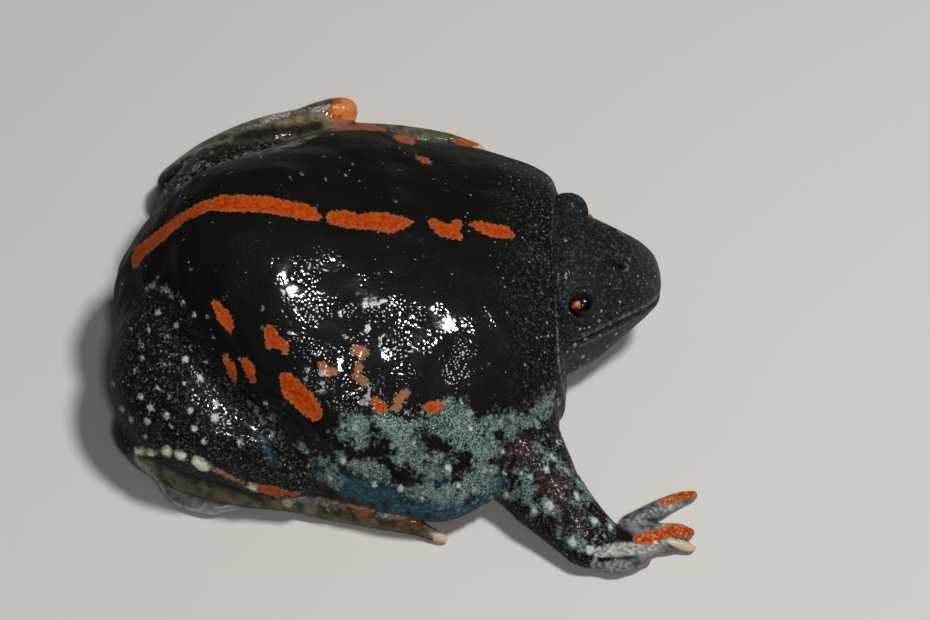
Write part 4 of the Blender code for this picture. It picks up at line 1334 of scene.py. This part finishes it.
def work(tree, operation, a, b=0.0, c=0.0):
    return put(tree, "ShaderNodeMath", {0: a, 1: b, 2: c}, operation=operation).outputs[0]


def times(tree, a, b):
    return work(tree, "MULTIPLY", a, b)


def frayed_by(tree, noise, strength, value):
    """A value with noise added to it that is 0 on average."""
    return work(tree, "MULTIPLY_ADD", work(tree, "SUBTRACT", noise, 0.5), strength, value)


def cut(tree, value, low, high):
    """0 below low, 1 above high, with a soft edge between."""
    inputs = {"Value": value, "From Min": low, "From Max": high}
    return put(tree, "ShaderNodeMapRange", inputs, interpolation_type="SMOOTHSTEP").outputs[0]


def two_tones(tree, noise, low, high, dark, light):
    """One colour where the noise is below low, the other above high, and both blended between."""
    return blend_colours(tree, cut(tree, noise, low, high), (*dark, 1), (*light, 1))


def speckle(tree, place, size, detail=2.0, seed=0.0):
    """Noise from 0 to 1 whose patches are about size millimetres wide."""
    inputs = {"Vector": place, "W": seed, "Scale": 1.0 / size, "Detail": detail}
    return put(tree, "ShaderNodeTexNoise", inputs, noise_dimensions="4D").outputs[0]


def field(tree, name):
    return put(tree, "ShaderNodeAttribute", attribute_name=name).outputs["Fac"]


def millimetres(tree):
    place = put(tree, "ShaderNodeTexCoord").outputs["Object"]
    grown = {0: place, "Scale": 1.0 / MM}
    return put(tree, "ShaderNodeVectorMath", grown, operation="SCALE").outputs[0]


def new_material(name):
    made = bpy.data.materials.new(name)
    made.use_nodes = True
    return made, made.node_tree, made.node_tree.nodes["Principled BSDF"]


print("helpers ready")

# %% Layers of colour
wet_skin, tree, shader = new_material("wet_skin")
place = millimetres(tree)
coarse = speckle(tree, place, 4.5, 2.0, 1.0)
middle = speckle(tree, place, 1.4, 2.0, 2.0)
fine_noise = speckle(tree, place, 0.5, 3.0, 3.0)
tiny = speckle(tree, place, 0.24, 2.0, 4.0)

colour = blend_colours(tree, middle, (0.0030, 0.0029, 0.0022, 1), (0.0072, 0.0068, 0.0052, 1))
leg_maroon = times(tree, field(tree, "maroon"), cut(tree, middle, 0.34, 0.58))
colour = blend_colours(tree, leg_maroon, colour, (0.042, 0.016, 0.012, 1))
head_grey = two_tones(tree, fine_noise, 0.2, 0.8, (0.0056, 0.0058, 0.0046), (0.0195, 0.02, 0.016))
jaw_grey = blend_colours(tree, middle, (0.018, 0.022, 0.022, 1), (0.046, 0.054, 0.052, 1))
head_grey = blend_colours(tree, field(tree, "jaw"), head_grey, jaw_grey)
colour = blend_colours(tree, field(tree, "grey"), colour, head_grey)
snout_grey = blend_colours(tree, middle, (0.016, 0.016, 0.011, 1), (0.038, 0.038, 0.027, 1))
colour = blend_colours(tree, field(tree, "snout"), colour, snout_grey)
lid_blue = blend_colours(tree, fine_noise, (0.005, 0.0075, 0.0085, 1), (0.018, 0.024, 0.027, 1))
colour = blend_colours(tree, times(tree, field(tree, "lid"), 0.85), colour, lid_blue)
# Blue of the lower flank, and a painted sheen along the fold of the thigh
blue_and_sheen_part = times(tree, field(tree, "blue_and_sheen"), cut(tree, middle, 0.28, 0.56))
blue_and_sheen_tone = two_tones(tree, fine_noise, 0.4, 0.65, (0.012, 0.046, 0.072), (0.040, 0.120, 0.140))
colour = blend_colours(tree, blue_and_sheen_part, colour, blue_and_sheen_tone)
foot_skin = two_tones(tree, middle, 0.28, 0.72, (0.036, 0.030, 0.016), (0.175, 0.152, 0.092))
hand_skin = two_tones(tree, middle, 0.34, 0.62, (0.060, 0.050, 0.045), (0.24, 0.235, 0.24))
foot_skin = blend_colours(tree, field(tree, "hand"), foot_skin, hand_skin)
colour = blend_colours(tree, times(tree, field(tree, "foot"), 0.9), colour, foot_skin)
print("base colours laid")

# %% Frost like lichen
frayed = frayed_by(tree, middle, 5.5, field(tree, "frost"))
frayed = frayed_by(tree, fine_noise, 3.6, frayed)
frost_part = cut(tree, frayed, -0.4, 1.3)
thread = work(tree, "ABSOLUTE", work(tree, "SUBTRACT", speckle(tree, place, 0.36, 3.0, 8.0), 0.5))
threads = cut(tree, work(tree, "MULTIPLY_ADD", tiny, 0.12, thread), 0.135, 0.050)
thin_frost = two_tones(tree, coarse, 0.40, 0.60, (0.024, 0.050, 0.052), (0.070, 0.115, 0.108))
frost_tone = blend_colours(tree, threads, thin_frost, (0.29, 0.39, 0.355, 1))
colour = blend_colours(tree, frost_part, colour, frost_tone)


def dots(tree, place, spacing, least, most, seed):
    """Round pale dots of many sizes, one in each cell of a random net, brightest in the middle."""
    shift = {0: place, 1: (seed, seed, seed)}
    shifted = put(tree, "ShaderNodeVectorMath", shift, operation="ADD").outputs[0]
    cells = put(tree, "ShaderNodeTexVoronoi", {"Vector": shifted, "Scale": 1.0 / spacing})
    chance = put(tree, "ShaderNodeSeparateColor", {0: cells.outputs["Color"]}).outputs[0]
    sizes = {"Value": chance, "To Min": least, "To Max": most}
    size = put(tree, "ShaderNodeMapRange", sizes).outputs[0]
    ragged = frayed_by(tree, tiny, 0.40, cells.outputs["Distance"])
    return cut(tree, work(tree, "SUBTRACT", size, ragged), -0.03, 0.12)


frost_dots = dots(tree, place, 1.5, -0.2, 0.36, 41.0)
frost_dots = times(tree, frost_dots, cut(tree, frayed, -1.6, 0.2))
colour = blend_colours(tree, times(tree, frost_dots, 0.55), colour, (0.34, 0.42, 0.36, 1))
print("frost laid")

# %% Spots, dust and pale edges
spot_edge = frayed_by(tree, fine_noise, 1.0, field(tree, "spots"))
spot_edge = frayed_by(tree, tiny, 0.7, spot_edge)
spot_tone = two_tones(tree, spot_edge, 0.05, 0.50, (0.11, 0.155, 0.15), (0.50, 0.58, 0.50))
colour = blend_colours(tree, cut(tree, spot_edge, -0.06, 0.36), colour, spot_tone)
small_dots = dots(tree, place, 0.95, -0.25, 0.26, 17.0)
dust = cut(tree, work(tree, "MULTIPLY_ADD", fine_noise, 0.6, tiny), 0.84, 1.00)
pale = work(tree, "MAXIMUM", times(tree, small_dots, 0.85), times(tree, dust, 0.6))
pale = times(tree, pale, field(tree, "dusty"))
colour = blend_colours(tree, pale, colour, (0.22, 0.26, 0.235, 1))
back_dots = dots(tree, place, 2.0, -0.60, 0.13, 31.0)
colour = blend_colours(tree, times(tree, back_dots, 0.7), colour, (0.24, 0.25, 0.22, 1))
lip_pale_and_nostril_highlight = times(tree, field(tree, "lip_line_and_nostril_highlight"), cut(tree, fine_noise, 0.36, 0.56))
edge_pale = cut(tree, field(tree, "rim"), 0.0, 0.25)
edge_pale = times(tree, edge_pale, cut(tree, fine_noise, 0.40, 0.58))
# Pale lip lines, and the painted highlight on the nostril rims
colour = blend_colours(tree, times(tree, lip_pale_and_nostril_highlight, 0.7), colour, (0.17, 0.18, 0.15, 1))
colour = blend_colours(tree, times(tree, edge_pale, 0.8), colour, (0.26, 0.26, 0.21, 1))
stretch = {0: place, 1: (0.20, 1.0, 1.0)}
stretched = put(tree, "ShaderNodeVectorMath", stretch, operation="MULTIPLY").outputs[0]
hair = speckle(tree, stretched, 0.60, 2.0, 12.0)
hair = work(tree, "ABSOLUTE", work(tree, "SUBTRACT", hair, 0.5))
hair_part = cut(tree, field(tree, "pale_lines"), -0.1, 0.25)
hair = times(tree, cut(tree, hair, 0.060, 0.015), hair_part)
colour = blend_colours(tree, hair, colour, (0.26, 0.23, 0.155, 1))
print("spots, dust and edges laid")


# %% Orange, cream, slate and buff
def ragged_field(tree, name, strength=1.0):
    """A field whose edge is frayed by two sizes of noise."""
    edge = frayed_by(tree, fine_noise, 0.95 * strength, field(tree, name))
    return frayed_by(tree, tiny, 0.9 * strength, edge)


def paint(tree, under, name, ragged, soft, over):
    """Lays a colour over the ones before it, inside a field with a frayed edge."""
    part = cut(tree, ragged_field(tree, name, ragged), 0.0, soft)
    return blend_colours(tree, part, under, over)


orange_edge = ragged_field(tree, "orange")
orange_core = two_tones(tree, fine_noise, 0.36, 0.66, (0.32, 0.032, 0.002), (0.52, 0.075, 0.006))
hand_mix = times(tree, field(tree, "hand"), cut(tree, fine_noise, 0.50, 0.62))
orange_core = blend_colours(tree, hand_mix, orange_core, (0.60, 0.21, 0.08, 1))
orange_core_part = cut(tree, orange_edge, 0.0, 0.42)
orange_tone = blend_colours(tree, orange_core_part, (0.30, 0.12, 0.045, 1), orange_core)
faded_edge = ragged_field(tree, "faded", 1.3)
faded_noise = work(tree, "ADD", middle, faded_edge)
faded_tone = two_tones(tree, faded_noise, 0.4, 1.1, (0.21, 0.155, 0.090), (0.36, 0.115, 0.036))
cream_and_highlight_edge = ragged_field(tree, "cream_and_highlight", 0.6)
cream_and_highlight_tone = two_tones(tree, fine_noise, 0.40, 0.66, (0.19, 0.20, 0.19), (0.50, 0.52, 0.43))
bead_part = cut(tree, ragged_field(tree, "beads", 0.5), 0.0, 0.35)
cream_and_highlight_tone = blend_colours(tree, bead_part, cream_and_highlight_tone, (0.80, 0.80, 0.55, 1))
salmon_tone = two_tones(tree, middle, 0.38, 0.60, (0.24, 0.085, 0.040), (0.48, 0.25, 0.13))
slate_tone = two_tones(tree, fine_noise, 0.35, 0.65, (0.080, 0.086, 0.090), (0.29, 0.30, 0.30))
colour = paint(tree, colour, "slate", 0.7, 0.5, slate_tone)
colour = paint(tree, colour, "buff", 0.4, 0.3, (0.56, 0.43, 0.31, 1))
rust_tone = two_tones(tree, middle, 0.36, 0.62, (0.085, 0.058, 0.034), (0.27, 0.175, 0.100))
colour = paint(tree, colour, "rust", 1.2, 0.6, rust_tone)
colour = paint(tree, colour, "salmon", 0.8, 0.5, salmon_tone)
# Cream of the foot ridge and hand, and a painted highlight along the right foot's long toe
colour = blend_colours(tree, cut(tree, cream_and_highlight_edge, -0.30, 0.10), colour, cream_and_highlight_tone)
colour = blend_colours(tree, cut(tree, faded_edge, -0.05, 0.25), colour, faded_tone)
colour = blend_colours(tree, cut(tree, orange_edge, -0.05, 0.14), colour, orange_tone)
# Yellow-orange toe tip, painted lighter as a highlight
colour = paint(tree, colour, "yellow_and_highlight", 1.0, 0.5, (0.62, 0.20, 0.045, 1))
# Painted shade: the dark field turns pits, grooves, creases and shade strokes nearly black
painted_shade_part = times(tree, field(tree, "dark"), 0.85)
colour = blend_colours(tree, painted_shade_part, colour, (0.003, 0.003, 0.003, 1))
tree.links.new(colour, shader.inputs["Base Color"])
print("markings laid")

# %% Wetness and grain
rough = put(tree, "ShaderNodeMapRange", {
    "Value": fine_noise, "From Min": 0.3, "From Max": 0.7, "To Min": 0.50, "To Max": 0.62,
}).outputs[0]
tree.links.new(rough, shader.inputs["Roughness"])
shader.inputs["Specular IOR Level"].default_value = 0.05
wet_edge = ragged_field(tree, "wet", 2.2)
wet_patch = cut(tree, frayed_by(tree, middle, 5.0, wet_edge), -0.2, 0.5)
damp = work(tree, "MULTIPLY_ADD", field(tree, "foot"), 0.2, field(tree, "damp"))
film = work(tree, "MAXIMUM", damp, wet_patch)
tree.links.new(film, shader.inputs["Coat Weight"])
shader.inputs["Coat Roughness"].default_value = 0.08
shader.inputs["Coat IOR"].default_value = 1.45

GRAIN_SPACING = 0.58
cells = put(tree, "ShaderNodeTexVoronoi", {"Vector": place, "Scale": 1.0 / GRAIN_SPACING})
away = cells.outputs["Distance"]
swell = speckle(tree, place, 2.6, 0.5, 6.0)
rolling = speckle(tree, place, 5.6, 0.5, 9.0)
rough_part = cut(tree, speckle(tree, place, 2.4, 1.0, 10.0), 0.40, 0.56)
rough_part = work(tree, "MULTIPLY_ADD", rough_part, -0.060, -0.004)
grain = times(tree, times(tree, away, away), rough_part)
grain = work(tree, "MULTIPLY_ADD", swell, 0.16, grain)
grain = work(tree, "MULTIPLY_ADD", rolling, 1.15, grain)
grain = work(tree, "MULTIPLY_ADD", fine_noise, 0.010, grain)
grain = work(tree, "MULTIPLY_ADD", cut(tree, spot_edge, 0.0, 0.8), 0.05, grain)
relief = put(tree, "ShaderNodeBump", {"Height": grain, "Distance": MM, "Strength": 1.0}).outputs[0]
tree.links.new(relief, shader.inputs["Normal"])
tree.links.new(relief, shader.inputs["Coat Normal"])
print("skin material:", len(tree.nodes), "nodes")

# %% The skin takes the place of the flesh
net.name = "skin"
net.materials.append(wet_skin)
net.shade_smooth()
skin_object = bpy.data.objects.new("skin", net)
bpy.context.scene.collection.objects.link(skin_object)
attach(skin_object, "root")
flesh = [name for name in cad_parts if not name.startswith(("eye", "spade"))]
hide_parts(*flesh)
print("skin stands for", len(flesh), "nodes")

# %% [markdown]
# ## Eyes
# Each eye is a glossy ball with a slightly bulging cornea. The iris is copper in a patch behind and
# above the upright oval pupil, with a painted highlight at its brightest spot, and the rest of the
# iris is painted nearly black as shade. The eyeball stays one opaque piece with a clear coat, which
# looks just as wet at this size as a separate cornea and is simpler to make solid.

# %% Eyeballs
PUPIL_AIM = {"right": (0.23, -0.57, 0.78), "left": (0.30, 0.92, 0.25)}
PUPIL_WIDE = 0.76
PUPIL_HIGH = 1.04
CORNEA_BULGE = 0.10
CORNEA_SPREAD = 0.62
BALL_SIDES = 48
BALL_STEPS = 36


def eye_axes(side):
    """Forwards, upwards and outwards of an eye, as unit vectors."""
    outwards = Vector(PUPIL_AIM[side]).normalized()
    up = (Vector((0, 0, 1)) - outwards * outwards.z).normalized()
    forwards = (Vector((1, 0, 0)) - outwards * outwards.x)
    forwards = (forwards - up * forwards.dot(up)).normalized()
    return forwards, up, outwards


def eye_look(side, forwards, up, centre):
    made, tree, shader = new_material("eye_look_" + side)
    place = millimetres(tree)
    from_centre = {0: place, 1: tuple(centre)}
    local = put(tree, "ShaderNodeVectorMath", from_centre, operation="SUBTRACT").outputs[0]

    def measured(way):
        """How far a point lies from the eye's middle along one direction."""
        pair = {0: local, 1: tuple(way)}
        return put(tree, "ShaderNodeVectorMath", pair, operation="DOT_PRODUCT").outputs["Value"]

    u, v = measured(forwards), measured(up)
    streaks = speckle(tree, place, 0.30, 3.0, 7.0)

    def oval(u_middle, v_middle, wide, high):
        """Distance from a point of the iris, in widths and heights of an oval round it."""
        across = work(tree, "DIVIDE", work(tree, "SUBTRACT", u, u_middle), wide)
        along = work(tree, "DIVIDE", work(tree, "SUBTRACT", v, v_middle), high)
        squares = work(tree, "ADD", times(tree, across, across), times(tree, along, along))
        return work(tree, "SQRT", squares)

    copper = two_tones(tree, streaks, 0.40, 0.60, (0.10, 0.030, 0.008), (0.52, 0.14, 0.035))
    # Painted highlight: a pinkish spot at the brightest part of the copper patch
    iris_highlight = cut(tree, oval(-0.98, 0.46, 0.42, 0.42), 1.1, 0.2)
    iris_highlight = times(tree, iris_highlight, cut(tree, streaks, 0.34, 0.56))
    copper = blend_colours(tree, iris_highlight, copper, (0.78, 0.34, 0.17, 1))
    patch = cut(tree, oval(-1.12, 0.30, 0.68, 0.62), 1.15, 0.50)
    # Outside the copper patch the iris is painted nearly black as shade.
    iris = blend_colours(tree, streaks, (0.004, 0.003, 0.002, 1), (0.016, 0.009, 0.004, 1))
    colour = blend_colours(tree, patch, iris, copper)
    pupil = cut(tree, oval(0.0, 0.0, PUPIL_WIDE, PUPIL_HIGH), 1.08, 0.94)
    colour = blend_colours(tree, pupil, colour, (0.0015, 0.0015, 0.002, 1))
    tree.links.new(colour, shader.inputs["Base Color"])
    shader.inputs["Roughness"].default_value = 0.25
    shader.inputs["Specular IOR Level"].default_value = 0.1
    shader.inputs["Coat Weight"].default_value = 0.22
    shader.inputs["Coat Roughness"].default_value = 0.02
    return made


def smooth_object(name, points, faces, material):
    """A piece from points in millimetres, shaded smooth, riding on the one body."""
    mesh = bpy.data.meshes.new(name)
    mesh.from_pydata([tuple(MM * float(c) for c in point) for point in points], [], faces)
    shape = bmesh.new()
    shape.from_mesh(mesh)
    bmesh.ops.recalc_face_normals(shape, faces=shape.faces)
    shape.to_mesh(mesh)
    shape.free()
    mesh.shade_smooth()
    mesh.materials.append(material)
    made = bpy.data.objects.new(name, mesh)
    bpy.context.scene.collection.objects.link(made)
    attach(made, "root")
    return made


for side in ("right", "left"):
    centre = Vector(EYE_AT[side])
    forwards, up, outwards = eye_axes(side)
    rings = []
    for i in range(1, BALL_STEPS):
        lean = math.pi * i / BALL_STEPS
        bulge = CORNEA_BULGE * math.exp(-((lean / CORNEA_SPREAD) ** 2))
        size = (EYE_RADIUS + bulge) * math.sin(lean)
        at = centre + outwards * ((EYE_RADIUS + bulge) * math.cos(lean))
        turns = [2.0 * math.pi * j / BALL_SIDES for j in range(BALL_SIDES)]
        rings.append([at + forwards * (size * math.cos(t)) + up * (size * math.sin(t))
                      for t in turns])
    first = centre + outwards * (EYE_RADIUS + CORNEA_BULGE)
    points, faces = loft(rings, first, centre - outwards * EYE_RADIUS)
    ball = smooth_object("eyeball_" + side, points, faces, eye_look(side, forwards, up, centre))
    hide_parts("eye_" + side)
    print(ball.name, len(ball.data.polygons), "faces")

# %% [markdown]
# ## Spades
# Under each hind foot sits a crescent of horn, with which the toad digs itself in backwards. It is
# a low tapering ridge along the sole's edge, blue-grey and smooth, and darker along its lowest
# millimetre by the ground.

# %% Digging spades
horn, tree, shader = new_material("spade_horn")
place = millimetres(tree)
bands = speckle(tree, place, 1.1, 3.0, 11.0)
grit = speckle(tree, place, 0.25, 2.0, 12.0)
low_edge = put(tree, "ShaderNodeSeparateXYZ", {0: place}).outputs[2]
colour = two_tones(tree, bands, 0.35, 0.65, (0.125, 0.140, 0.133), (0.34, 0.375, 0.355))
# Darker over the lowest millimetre, towards the ground
colour = blend_colours(tree, cut(tree, low_edge, 0.9, 0.2), colour, (0.040, 0.034, 0.030, 1))
tree.links.new(colour, shader.inputs["Base Color"])
shine = put(tree, "ShaderNodeMapRange", {"Value": grit, "To Min": 0.28, "To Max": 0.45}).outputs[0]
tree.links.new(shine, shader.inputs["Roughness"])
ridges = times(tree, bands, 0.12)
relief = put(tree, "ShaderNodeBump", {"Height": ridges, "Distance": MM}).outputs[0]
tree.links.new(relief, shader.inputs["Normal"])
shader.inputs["Coat Weight"].default_value = 0.5
shader.inputs["Coat Roughness"].default_value = 0.10

for side in ("right", "left"):
    points, faces = limb_shape(SPADE[side], sides=32, count=44)
    points = [(p[0], p[1], max(p[2], 0.0)) for p in points]
    spade = smooth_object("horn_" + side, points, faces, horn)
    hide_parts("spade_" + side)
    print(spade.name, len(spade.data.polygons), "faces")

# %% [markdown]
# ## Pale granules
# Tiny pale warts stand on the wet skin, thickest on the cheeks, behind the collar and on the legs.
# They repeat by the hundred and follow the surface, which Geometry Nodes are good at: one tree
# scatters points on the skin, keeps them a least distance apart, stands a low dome on each and
# turns it to the skin. The few large ones on the cheek are placed one by one with a second tree.

# %% Scatter tree
def input_id(group, name):
    return next(item.identifier for item in group.interface.items_tree
                if item.item_type == "SOCKET" and item.in_out == "INPUT" and item.name == name)


def named(group, label, kind):
    node = put(group, "GeometryNodeInputNamedAttribute", {"Name": label}, data_type=kind)
    return node.outputs[0]


def dome_nodes(group):
    """A low dome with a few dozen faces, one millimetre in radius before it is scaled."""
    dome = put(group, "GeometryNodeMeshUVSphere", {"Segments": 8, "Rings": 5, "Radius": MM})
    flattening = {"Geometry": dome.outputs["Mesh"], "Scale": (1.0, 1.0, 0.42)}
    return put(group, "GeometryNodeTransform", flattening).outputs[0]


def finish_nodes(group, geometry, inputs):
    real = put(group, "GeometryNodeRealizeInstances", {"Geometry": geometry}).outputs[0]
    smooth = put(group, "GeometryNodeSetShadeSmooth", {"Geometry": real}).outputs[0]
    coating = {"Geometry": smooth, "Material": inputs.outputs["Finish"]}
    coated = put(group, "GeometryNodeSetMaterial", coating).outputs[0]
    put(group, "NodeGroupOutput", {"Geometry": coated})


def new_group(name, sockets):
    group = bpy.data.node_groups.new(name, "GeometryNodeTree")
    group.interface.new_socket("Geometry", in_out="INPUT", socket_type="NodeSocketGeometry")
    group.interface.new_socket("Geometry", in_out="OUTPUT", socket_type="NodeSocketGeometry")
    for label, kind in sockets:
        group.interface.new_socket(label, in_out="INPUT", socket_type="NodeSocket" + kind)
    return group, put(group, "NodeGroupInput")


scatter, inputs = new_group("scatter_granules", (
    ("Spacing", "Float"), ("Density", "Float"), ("Smallest", "Float"), ("Largest", "Float"),
    ("Seed", "Int"), ("Finish", "Material")))
thick = named(scatter, "granular", "FLOAT")
spots = put(scatter, "GeometryNodeDistributePointsOnFaces", {
    "Mesh": inputs.outputs["Geometry"], "Distance Min": inputs.outputs["Spacing"],
    "Density Max": inputs.outputs["Density"], "Density Factor": thick,
    "Seed": inputs.outputs["Seed"]}, distribute_method="POISSON")
size = put(scatter, "FunctionNodeRandomValue", {
    2: inputs.outputs["Smallest"], 3: inputs.outputs["Largest"],
    "Seed": inputs.outputs["Seed"]}, data_type="FLOAT")
stood = put(scatter, "GeometryNodeInstanceOnPoints", {
    "Points": spots.outputs["Points"], "Instance": dome_nodes(scatter),
    "Rotation": spots.outputs["Rotation"], "Scale": size.outputs[1]})
finish_nodes(scatter, stood.outputs[0], inputs)
print("scatter tree:", len(scatter.nodes), "nodes")

# %% Tree for the ones placed one by one
placed, inputs = new_group("placed_granules", (("Finish", "Material"),))
lean = named(placed, "lean", "FLOAT_VECTOR")
wide = named(placed, "wide", "FLOAT")
turned = put(placed, "FunctionNodeAlignRotationToVector", {"Vector": lean}, axis="Z").outputs[0]
stood = put(placed, "GeometryNodeInstanceOnPoints", {
    "Points": inputs.outputs["Geometry"], "Instance": dome_nodes(placed),
    "Rotation": turned, "Scale": wide})
finish_nodes(placed, stood.outputs[0], inputs)
print("tree for placed granules:", len(placed.nodes), "nodes")

# %% Granule material and pieces
pale_wart, tree, shader = new_material("pale_wart")
place = millimetres(tree)
tone = speckle(tree, place, 0.9, 2.0, 21.0)
colour = two_tones(tree, tone, 0.3, 0.7, (0.09, 0.105, 0.105), (0.27, 0.30, 0.285))
tree.links.new(colour, shader.inputs["Base Color"])
shine = put(tree, "ShaderNodeMapRange", {"Value": tone, "To Min": 0.30, "To Max": 0.50}).outputs[0]
tree.links.new(shine, shader.inputs["Roughness"])
shader.inputs["Coat Weight"].default_value = 0.2
shader.inputs["Coat Roughness"].default_value = 0.10


def made_by(group, source, values, name):
    """Runs a node tree on a mesh and keeps the result as a plain piece."""
    holder = bpy.data.objects.new(name, source)
    bpy.context.scene.collection.objects.link(holder)
    modifier = holder.modifiers.new("grow", "NODES")
    modifier.node_group = group
    for label, value in values.items():
        modifier[input_id(group, label)] = value
    bpy.context.view_layer.update()
    grown = holder.evaluated_get(bpy.context.evaluated_depsgraph_get())
    result = bpy.data.meshes.new_from_object(grown)
    holder.modifiers.clear()
    holder.data = result
    result.name = name
    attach(holder, "root")
    return holder


cheek = owned("head") * ease(17.5, 14.0, skin[:, 2])
hind_legs = owned("thigh_right", "thigh_left", "shank_right", "shank_left")
granular = 0.10 * owned("torso") + 0.35 * hind_legs
granular += 0.45 * cheek + 0.30 * forelegs
granular += 0.45 * owned("torso") * ease(22.0, 29.0, skin[:, 0])
granular *= (skin[:, 2] > 1.0) * (orange < -0.3) * (lid_skin < 0.2)
keep_field("granular", granular)
scattered = made_by(scatter, net, {
    "Spacing": 0.9 * MM, "Density": 9.0e5, "Smallest": 0.06, "Largest": 0.17, "Seed": 4,
    "Finish": pale_wart}, "granules")
print(scattered.name, len(scattered.data.polygons), "faces")

# %% Cheek granules
CHEEK = (
    (565.6, 240.4, 0.30), (612.0, 245.0, 0.14), (590.0, 273.0, 0.14), (620.0, 302.0, 0.24),
    (617.0, 313.0, 0.20), (601.0, 311.0, 0.26), (599.0, 321.0, 0.27), (589.0, 327.0, 0.22),
    (584.5, 328.0, 0.20), (580.0, 329.0, 0.22), (610.0, 325.0, 0.18), (600.0, 336.0, 0.24),
    (616.0, 334.0, 0.28), (585.0, 339.0, 0.26), (575.0, 345.0, 0.34), (607.0, 346.0, 0.24),
    (567.0, 352.0, 0.24), (582.5, 357.0, 0.34), (588.0, 359.0, 0.20), (594.0, 359.0, 0.16),
    (547.0, 323.0, 0.24), (548.0, 336.0, 0.24), (537.0, 338.0, 0.20), (525.0, 365.0, 0.24),
)


def seen_at(across, down):
    """The place on the skin, in millimetres, that the camera sees at a pixel, and its normal."""
    right_of = (across - PICTURE_WIDTH / 2) / PIXELS_PER_RADIAN
    above = (PICTURE_HEIGHT / 2 - down) / PIXELS_PER_RADIAN
    ray = (rightwards * right_of + upwards * above - backwards).normalized()
    return skin_tree.ray_cast(camera.location / MM, ray)[:2]


hits = [(seen_at(across, down), wide) for across, down, wide in CHEEK]
hits = [(place, normal, wide) for (place, normal), wide in hits if place is not None]
spots = bpy.data.meshes.new("cheek_points")
spots.from_pydata([tuple(place * MM) for place, normal, wide in hits], [], [])
spots.attributes.new("lean", "FLOAT_VECTOR", "POINT").data.foreach_set(
    "vector", [c for place, normal, wide in hits for c in normal])
spots.attributes.new("wide", "FLOAT", "POINT").data.foreach_set(
    "value", [wide for place, normal, wide in hits])
cheeks = made_by(placed, spots, {"Finish": pale_wart}, "cheek_granules")
print(cheeks.name, len(cheeks.data.polygons), "faces")

# %% [markdown]
# The dressed toad may not grow past its solids. Both boxes are written down, so that they can be
# compared after each render.

# %% Sizes and end
dressed_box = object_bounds()
for label, box in (("solids", solid_box), ("dressed", dressed_box)):
    print(label, [round(c, 4) for corner in box for c in corner])
